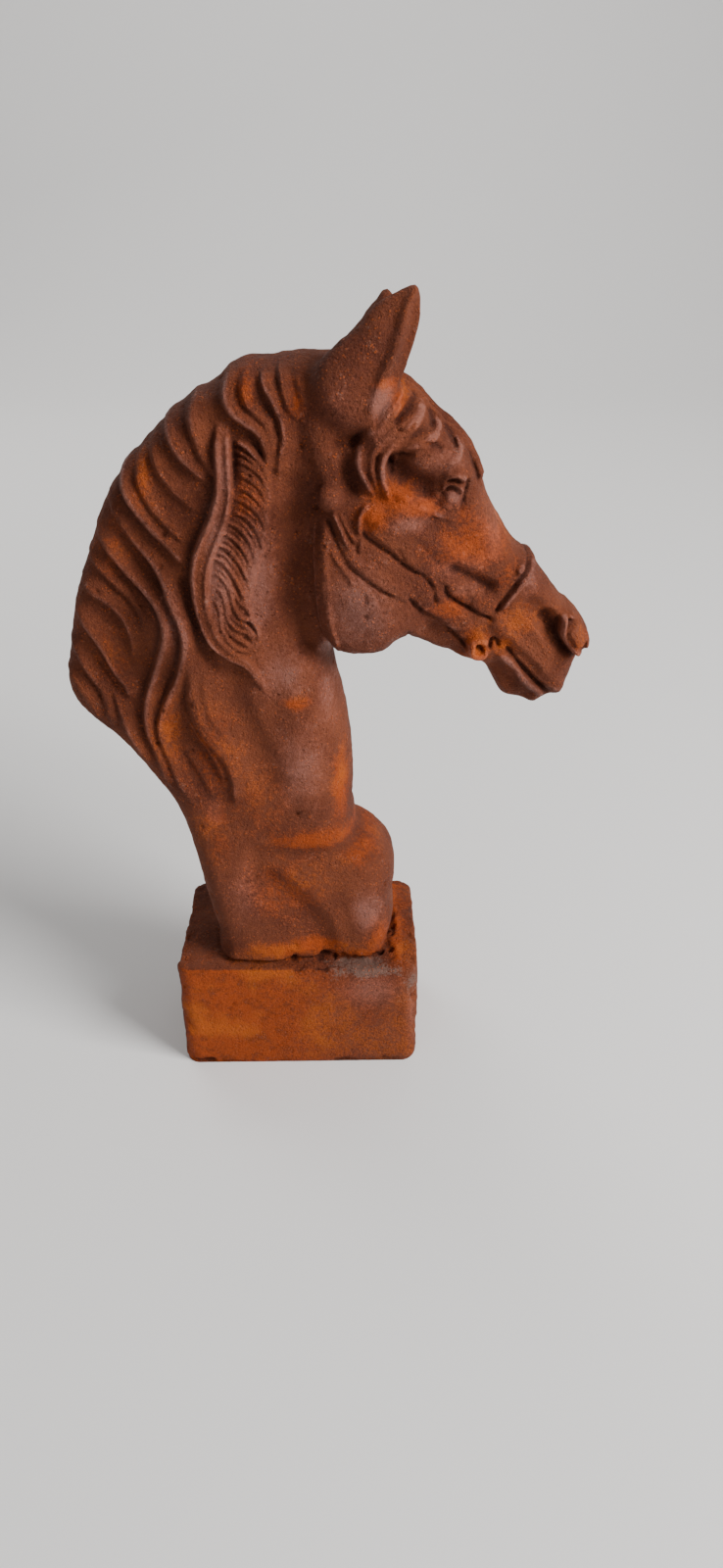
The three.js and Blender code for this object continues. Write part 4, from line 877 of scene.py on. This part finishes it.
def weathering(fine, maps, points):
    """How far the skin stands out or is worn away at each place."""
    x, y, z = points.T
    here = sample_maps(fine, maps, x, z)
    on_block = smooth_step(BLOCK_HEIGHT + 2, BLOCK_HEIGHT - 0.5, z)
    locks = smooth_step(0.2, 1.5, here["neck_near"]) * (here["head_in"] < 0)
    rough = 0.2 * noise(points, 2.4, 1) + 0.2 * noise(points, 5.5, 2)
    rough += on_block * (0.22 * noise(points, 4.0, 3) + 0.55 * noise(points, 18, 4))
    rough += 0.12 * locks * noise(points, 3.4, 9)
    near_foot = np.exp(-((z - (BLOCK_HEIGHT + 2)) / 3.2) ** 2) * (np.abs(bust_field(here, y, z)) < 4.5)
    chip_block(rough, points)
    add_mortar(rough, points, near_foot)
    add_crust(rough, points)
    make_pits(rough, points, near_foot)
    # the underside stays flat, so that it stands firmly
    rough = np.where(z < 1.2, np.minimum(rough * (1 - smooth_step(3.0, 0.5, z)), 0), rough)
    return rough


def hollowness(fine, maps, points):
    """How much lower each place lies than the carving around it."""
    broad = {name: soften(maps[name], 6) for name in ("head_near", "neck_near")}
    here = sample_maps(fine, maps, points[:, 0], points[:, 2])
    around = sample_maps(fine, broad, points[:, 0], points[:, 2])
    on_head = here["head_in"] > 0
    relief = np.where(on_head, here["head_near"], here["neck_near"])
    return np.where(on_head, around["head_near"], around["neck_near"]) - relief


def make_mesh(points, quads):
    mesh = bpy.data.meshes.new("horse_head")
    mesh.vertices.add(len(points))
    mesh.vertices.foreach_set("co", (points / 1000).astype(np.float32).ravel())
    mesh.loops.add(quads.size)
    mesh.loops.foreach_set("vertex_index", quads.ravel().astype(np.int32))
    mesh.polygons.add(len(quads))
    mesh.polygons.foreach_set("loop_start", np.arange(0, quads.size, 4, dtype=np.int32))
    mesh.update(calc_edges=True)
    mesh.validate()
    mesh.shade_smooth()
    return mesh


def make_piece():
    fine, maps = make_maps()
    skin, quads = make_skin(fine, maps)
    skin, normal = settle(fine, maps, skin)
    rough = weathering(fine, maps, skin)
    points = skin + normal * rough[:, None]
    points[:, 2] = np.where(skin[:, 2] < 0.9, 0.0, np.maximum(points[:, 2], 0.0))
    points[:, 1] = np.clip(points[:, 1], -SIDE_LIMIT, SIDE_LIMIT)
    mesh = make_mesh(points, quads)
    paint(mesh, points, normal, hollowness(fine, maps, points), rough)

    piece = bpy.data.objects.new("horse_head", mesh)
    bpy.context.scene.collection.objects.link(piece)
    thin = piece.modifiers.new("Thin", "DECIMATE")
    thin.ratio = min(1.0, TRIANGLES / (2 * len(quads)))
    bpy.context.view_layer.objects.active = piece
    piece.select_set(True)
    bpy.ops.object.modifier_apply(modifier="Thin")
    piece.data.shade_smooth()
    return piece


def srgb(r, g, b):
    """A colour from the numbers that a screen shows."""
    def line(v):
        v /= 255
        return v / 12.92 if v < 0.04045 else ((v + 0.055) / 1.055) ** 2.4

    return (line(r), line(g), line(b), 1)


class Nodes:
    """Short ways to add and join shader nodes."""

    def __init__(self, material):
        self.tree = material.node_tree
        self.tree.nodes.clear()

    def add(self, kind, inputs=None, **settings):
        node = self.tree.nodes.new(kind)
        for key, value in settings.items():
            setattr(node, key, value)
        for key, value in (inputs or {}).items():
            if isinstance(value, bpy.types.NodeSocket):
                self.tree.links.new(value, node.inputs[key])
            else:
                node.inputs[key].default_value = value
        return node

    def noise(self, where, scale, detail, rough):
        inputs = {"Vector": where, "Scale": scale, "Detail": detail, "Roughness": rough}
        return self.add("ShaderNodeTexNoise", inputs).outputs["Fac"]

    def cells(self, where, scale):
        inputs = {"Vector": where, "Scale": scale}
        return self.add("ShaderNodeTexVoronoi", inputs, feature="F1").outputs["Distance"]

    def ramp(self, value, low, high, out_low=0.0, out_high=1.0):
        inputs = {"Value": value, "From Min": low, "From Max": high, "To Min": out_low, "To Max": out_high}
        return self.add("ShaderNodeMapRange", inputs, interpolation_type="SMOOTHSTEP").outputs["Result"]

    def math(self, kind, a, b):
        return self.add("ShaderNodeMath", {0: a, 1: b}, operation=kind).outputs[0]

    def times(self, a, b):
        return self.math("MULTIPLY", a, b)

    def plus(self, a, b):
        return self.math("ADD", a, b)

    def mix(self, share, a, b):
        return self.add("ShaderNodeMix", {0: share, 6: a, 7: b}, data_type="RGBA").outputs[2]

    def mask(self, name):
        return self.add("ShaderNodeAttribute", attribute_name=name).outputs["Fac"]


def stone_material():
    material = bpy.data.materials.new("Cast stone")
    material.use_nodes = True
    nodes = Nodes(material)
    where = nodes.add("ShaderNodeTexCoord").outputs["Object"]
    broad = nodes.noise(where, 26, 3, 0.55)
    middle = nodes.noise(where, 120, 4, 0.65)
    fine = nodes.noise(where, 560, 4, 0.7)
    grain = nodes.noise(where, 1700, 3, 0.7)

    def patchy(mask, low, high, loose=0.5):
        """A mask with an edge that the middle and fine noise break up."""
        value = nodes.plus(mask, nodes.ramp(middle, 0.2, 0.8, -loose / 2, loose / 2))
        value = nodes.plus(value, nodes.ramp(fine, 0.25, 0.75, -loose / 2, loose / 2))
        return nodes.ramp(value, low, high)

    mauve_wear_and_highlight = patchy(nodes.mask("mauve_wear_and_highlight"), 0.1, 1.2, 0.35)
    rust = patchy(nodes.mask("rust"), 0.15, 1.05)
    grey = patchy(nodes.mask("grey"), 0.3, 0.8, 0.8)
    stain = nodes.times(nodes.mask("block"), nodes.ramp(middle, 0.46, 0.62))
    ochre = nodes.times(rust, nodes.ramp(broad, 0.5, 0.62))
    crumbs = nodes.times(nodes.ramp(nodes.cells(where, 520.0), 0.34, 0.2), nodes.ramp(middle, 0.44, 0.62))

    # the dull ground, and the layers of patina, painted highlight and painted shade over it
    colour = nodes.mix(nodes.ramp(broad, 0.3, 0.7), srgb(88, 40, 23), srgb(118, 60, 36))
    for share, shade in (
        (nodes.ramp(fine, 0.45, 0.75, 0, 0.4), srgb(138, 66, 32)),
        # mauve wear and painted highlight
        (nodes.times(mauve_wear_and_highlight, 0.7), srgb(148, 90, 74)),
        (nodes.times(rust, 0.8), srgb(172, 70, 6)),
        (nodes.times(stain, 0.55), srgb(96, 42, 16)),
        (nodes.times(ochre, 0.45), srgb(198, 100, 14)),
        (nodes.times(grey, 0.8), srgb(112, 88, 78)),
        # painted shade
        (nodes.times(nodes.mask("painted_shade"), 0.75), srgb(52, 18, 9)),
        (nodes.ramp(grain, 0.54, 0.7, 0, 0.6), srgb(60, 24, 13)),
        (nodes.ramp(grain, 0.44, 0.3, 0, 0.3), srgb(190, 110, 66)),
        (nodes.times(crumbs, 0.4), srgb(196, 92, 34)),
    ):
        colour = nodes.mix(share, colour, shade)

    holes = nodes.ramp(nodes.cells(where, 300.0), 0.10, 0.26)
    height = nodes.plus(fine, nodes.times(grain, 0.35))
    height = nodes.plus(height, nodes.times(holes, 0.3))
    height = nodes.plus(height, nodes.times(crumbs, 0.3))
    height = nodes.times(height, nodes.ramp(mauve_wear_and_highlight, 0.0, 1.0, 1.0, 0.8))
    bump = nodes.add("ShaderNodeBump", {"Height": height, "Strength": 1.0, "Distance": 0.0022})
    shader = nodes.add("ShaderNodeBsdfPrincipled", {
        "Base Color": colour,
        "Roughness": nodes.ramp(mauve_wear_and_highlight, 0.0, 1.0, 0.78, 0.5),
        "Specular IOR Level": nodes.ramp(mauve_wear_and_highlight, 0.1, 0.9, 0.22, 0.42),
        "Normal": bump.outputs["Normal"],
    })
    nodes.add("ShaderNodeOutputMaterial", {"Surface": shader.outputs["BSDF"]})
    return material


def make_sweep():
    """A plain pale floor that rises in a wide curve behind the object."""
    reach, bend, top, half = 3.2, 1.6, 7.0, 12.0
    steps = 24
    profile = [(-8.0, 0.0), (reach - bend, 0.0)]
    for i in range(1, steps + 1):
        turn = math.pi / 2 * i / steps
        profile.append((reach - bend + bend * math.sin(turn), bend - bend * math.cos(turn)))
    profile.append((reach, top))
    vertices = [(side * half, y, z) for y, z in profile for side in (-1, 1)]
    faces = [(2 * i, 2 * i + 1, 2 * i + 3, 2 * i + 2) for i in range(len(profile) - 1)]
    mesh = bpy.data.meshes.new("floor")
    mesh.from_pydata(vertices, [], faces)
    mesh.shade_smooth()
    pale = bpy.data.materials.new("Pale floor")
    pale.use_nodes = True
    shader = pale.node_tree.nodes["Principled BSDF"]
    shader.inputs["Base Color"].default_value = (0.8, 0.78, 0.76, 1)
    shader.inputs["Roughness"].default_value = 0.9
    mesh.materials.append(pale)
    floor = bpy.data.objects.new("floor", mesh)
    bpy.context.scene.collection.objects.link(floor)


# Studio lights in metres and watts: name, place, what it aims at, size and power.
LIGHTS = [
    ("key", (1.25, -0.75, 1.2), (0, 0, 0.25), 0.8, 54),
    ("fill", (-0.9, -1.7, 0.8), (0, 0, 0.2), 1.2, 3.2),
    ("back", (-0.9, 1.2, 1.4), (0, 0, 0.25), 0.9, 10),
    ("wall", (0, 0.9, 2.4), (0, 3.2, 1.5), 1.6, 45),
]


def make_lights():
    for name, place, aim, size, watts in LIGHTS:
        light = bpy.data.lights.new(name, "AREA")
        light.size = size
        light.energy = watts
        lamp = bpy.data.objects.new(name, light)
        bpy.context.scene.collection.objects.link(lamp)
        lamp.location = place
        x, y, z = (a - b for a, b in zip(place, aim))
        lamp.rotation_euler = (math.atan2(math.hypot(x, y), z), 0, math.atan2(x, -y))


def make_world():
    world = bpy.data.worlds.new("Studio")
    world.use_nodes = True
    background = world.node_tree.nodes["Background"]
    background.inputs["Color"].default_value = (0.95, 0.97, 1.0, 1)
    background.inputs["Strength"].default_value = 0.24
    bpy.context.scene.world = world


# The photo's camera: its place in metres, how far it looks down and turns in radians, and the
# focal length and the picture's height in pixels.
CAMERA_PLACE = (0.02602, -0.5585, 0.5124)
CAMERA_DOWN, CAMERA_TURN = 0.5513, -0.0173
FOCAL_PIXELS, PICTURE_HEIGHT = 1202, 1600


def make_camera():
    view = bpy.data.cameras.new("photo")
    view.sensor_fit = "VERTICAL"
    view.sensor_height = 36
    view.lens = view.sensor_height * FOCAL_PIXELS / PICTURE_HEIGHT
    view.clip_start = 0.01
    view.clip_end = 200
    camera = bpy.data.objects.new("photo", view)
    bpy.context.scene.collection.objects.link(camera)
    camera.location = CAMERA_PLACE
    camera.rotation_euler = (math.pi / 2 - CAMERA_DOWN, 0, CAMERA_TURN)
    return camera


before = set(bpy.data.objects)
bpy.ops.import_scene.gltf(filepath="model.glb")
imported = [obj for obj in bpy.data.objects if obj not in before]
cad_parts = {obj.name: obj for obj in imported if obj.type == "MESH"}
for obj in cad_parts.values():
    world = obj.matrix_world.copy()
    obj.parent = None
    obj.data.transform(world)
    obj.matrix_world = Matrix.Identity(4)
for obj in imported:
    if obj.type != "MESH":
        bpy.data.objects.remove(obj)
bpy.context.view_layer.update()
sculpture = make_piece()
sculpture.data.materials.append(stone_material())
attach(sculpture, "root")
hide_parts("horse_head_sculpture")
make_sweep()
make_world()
make_lights()
scene = bpy.context.scene
scene.camera = make_camera()
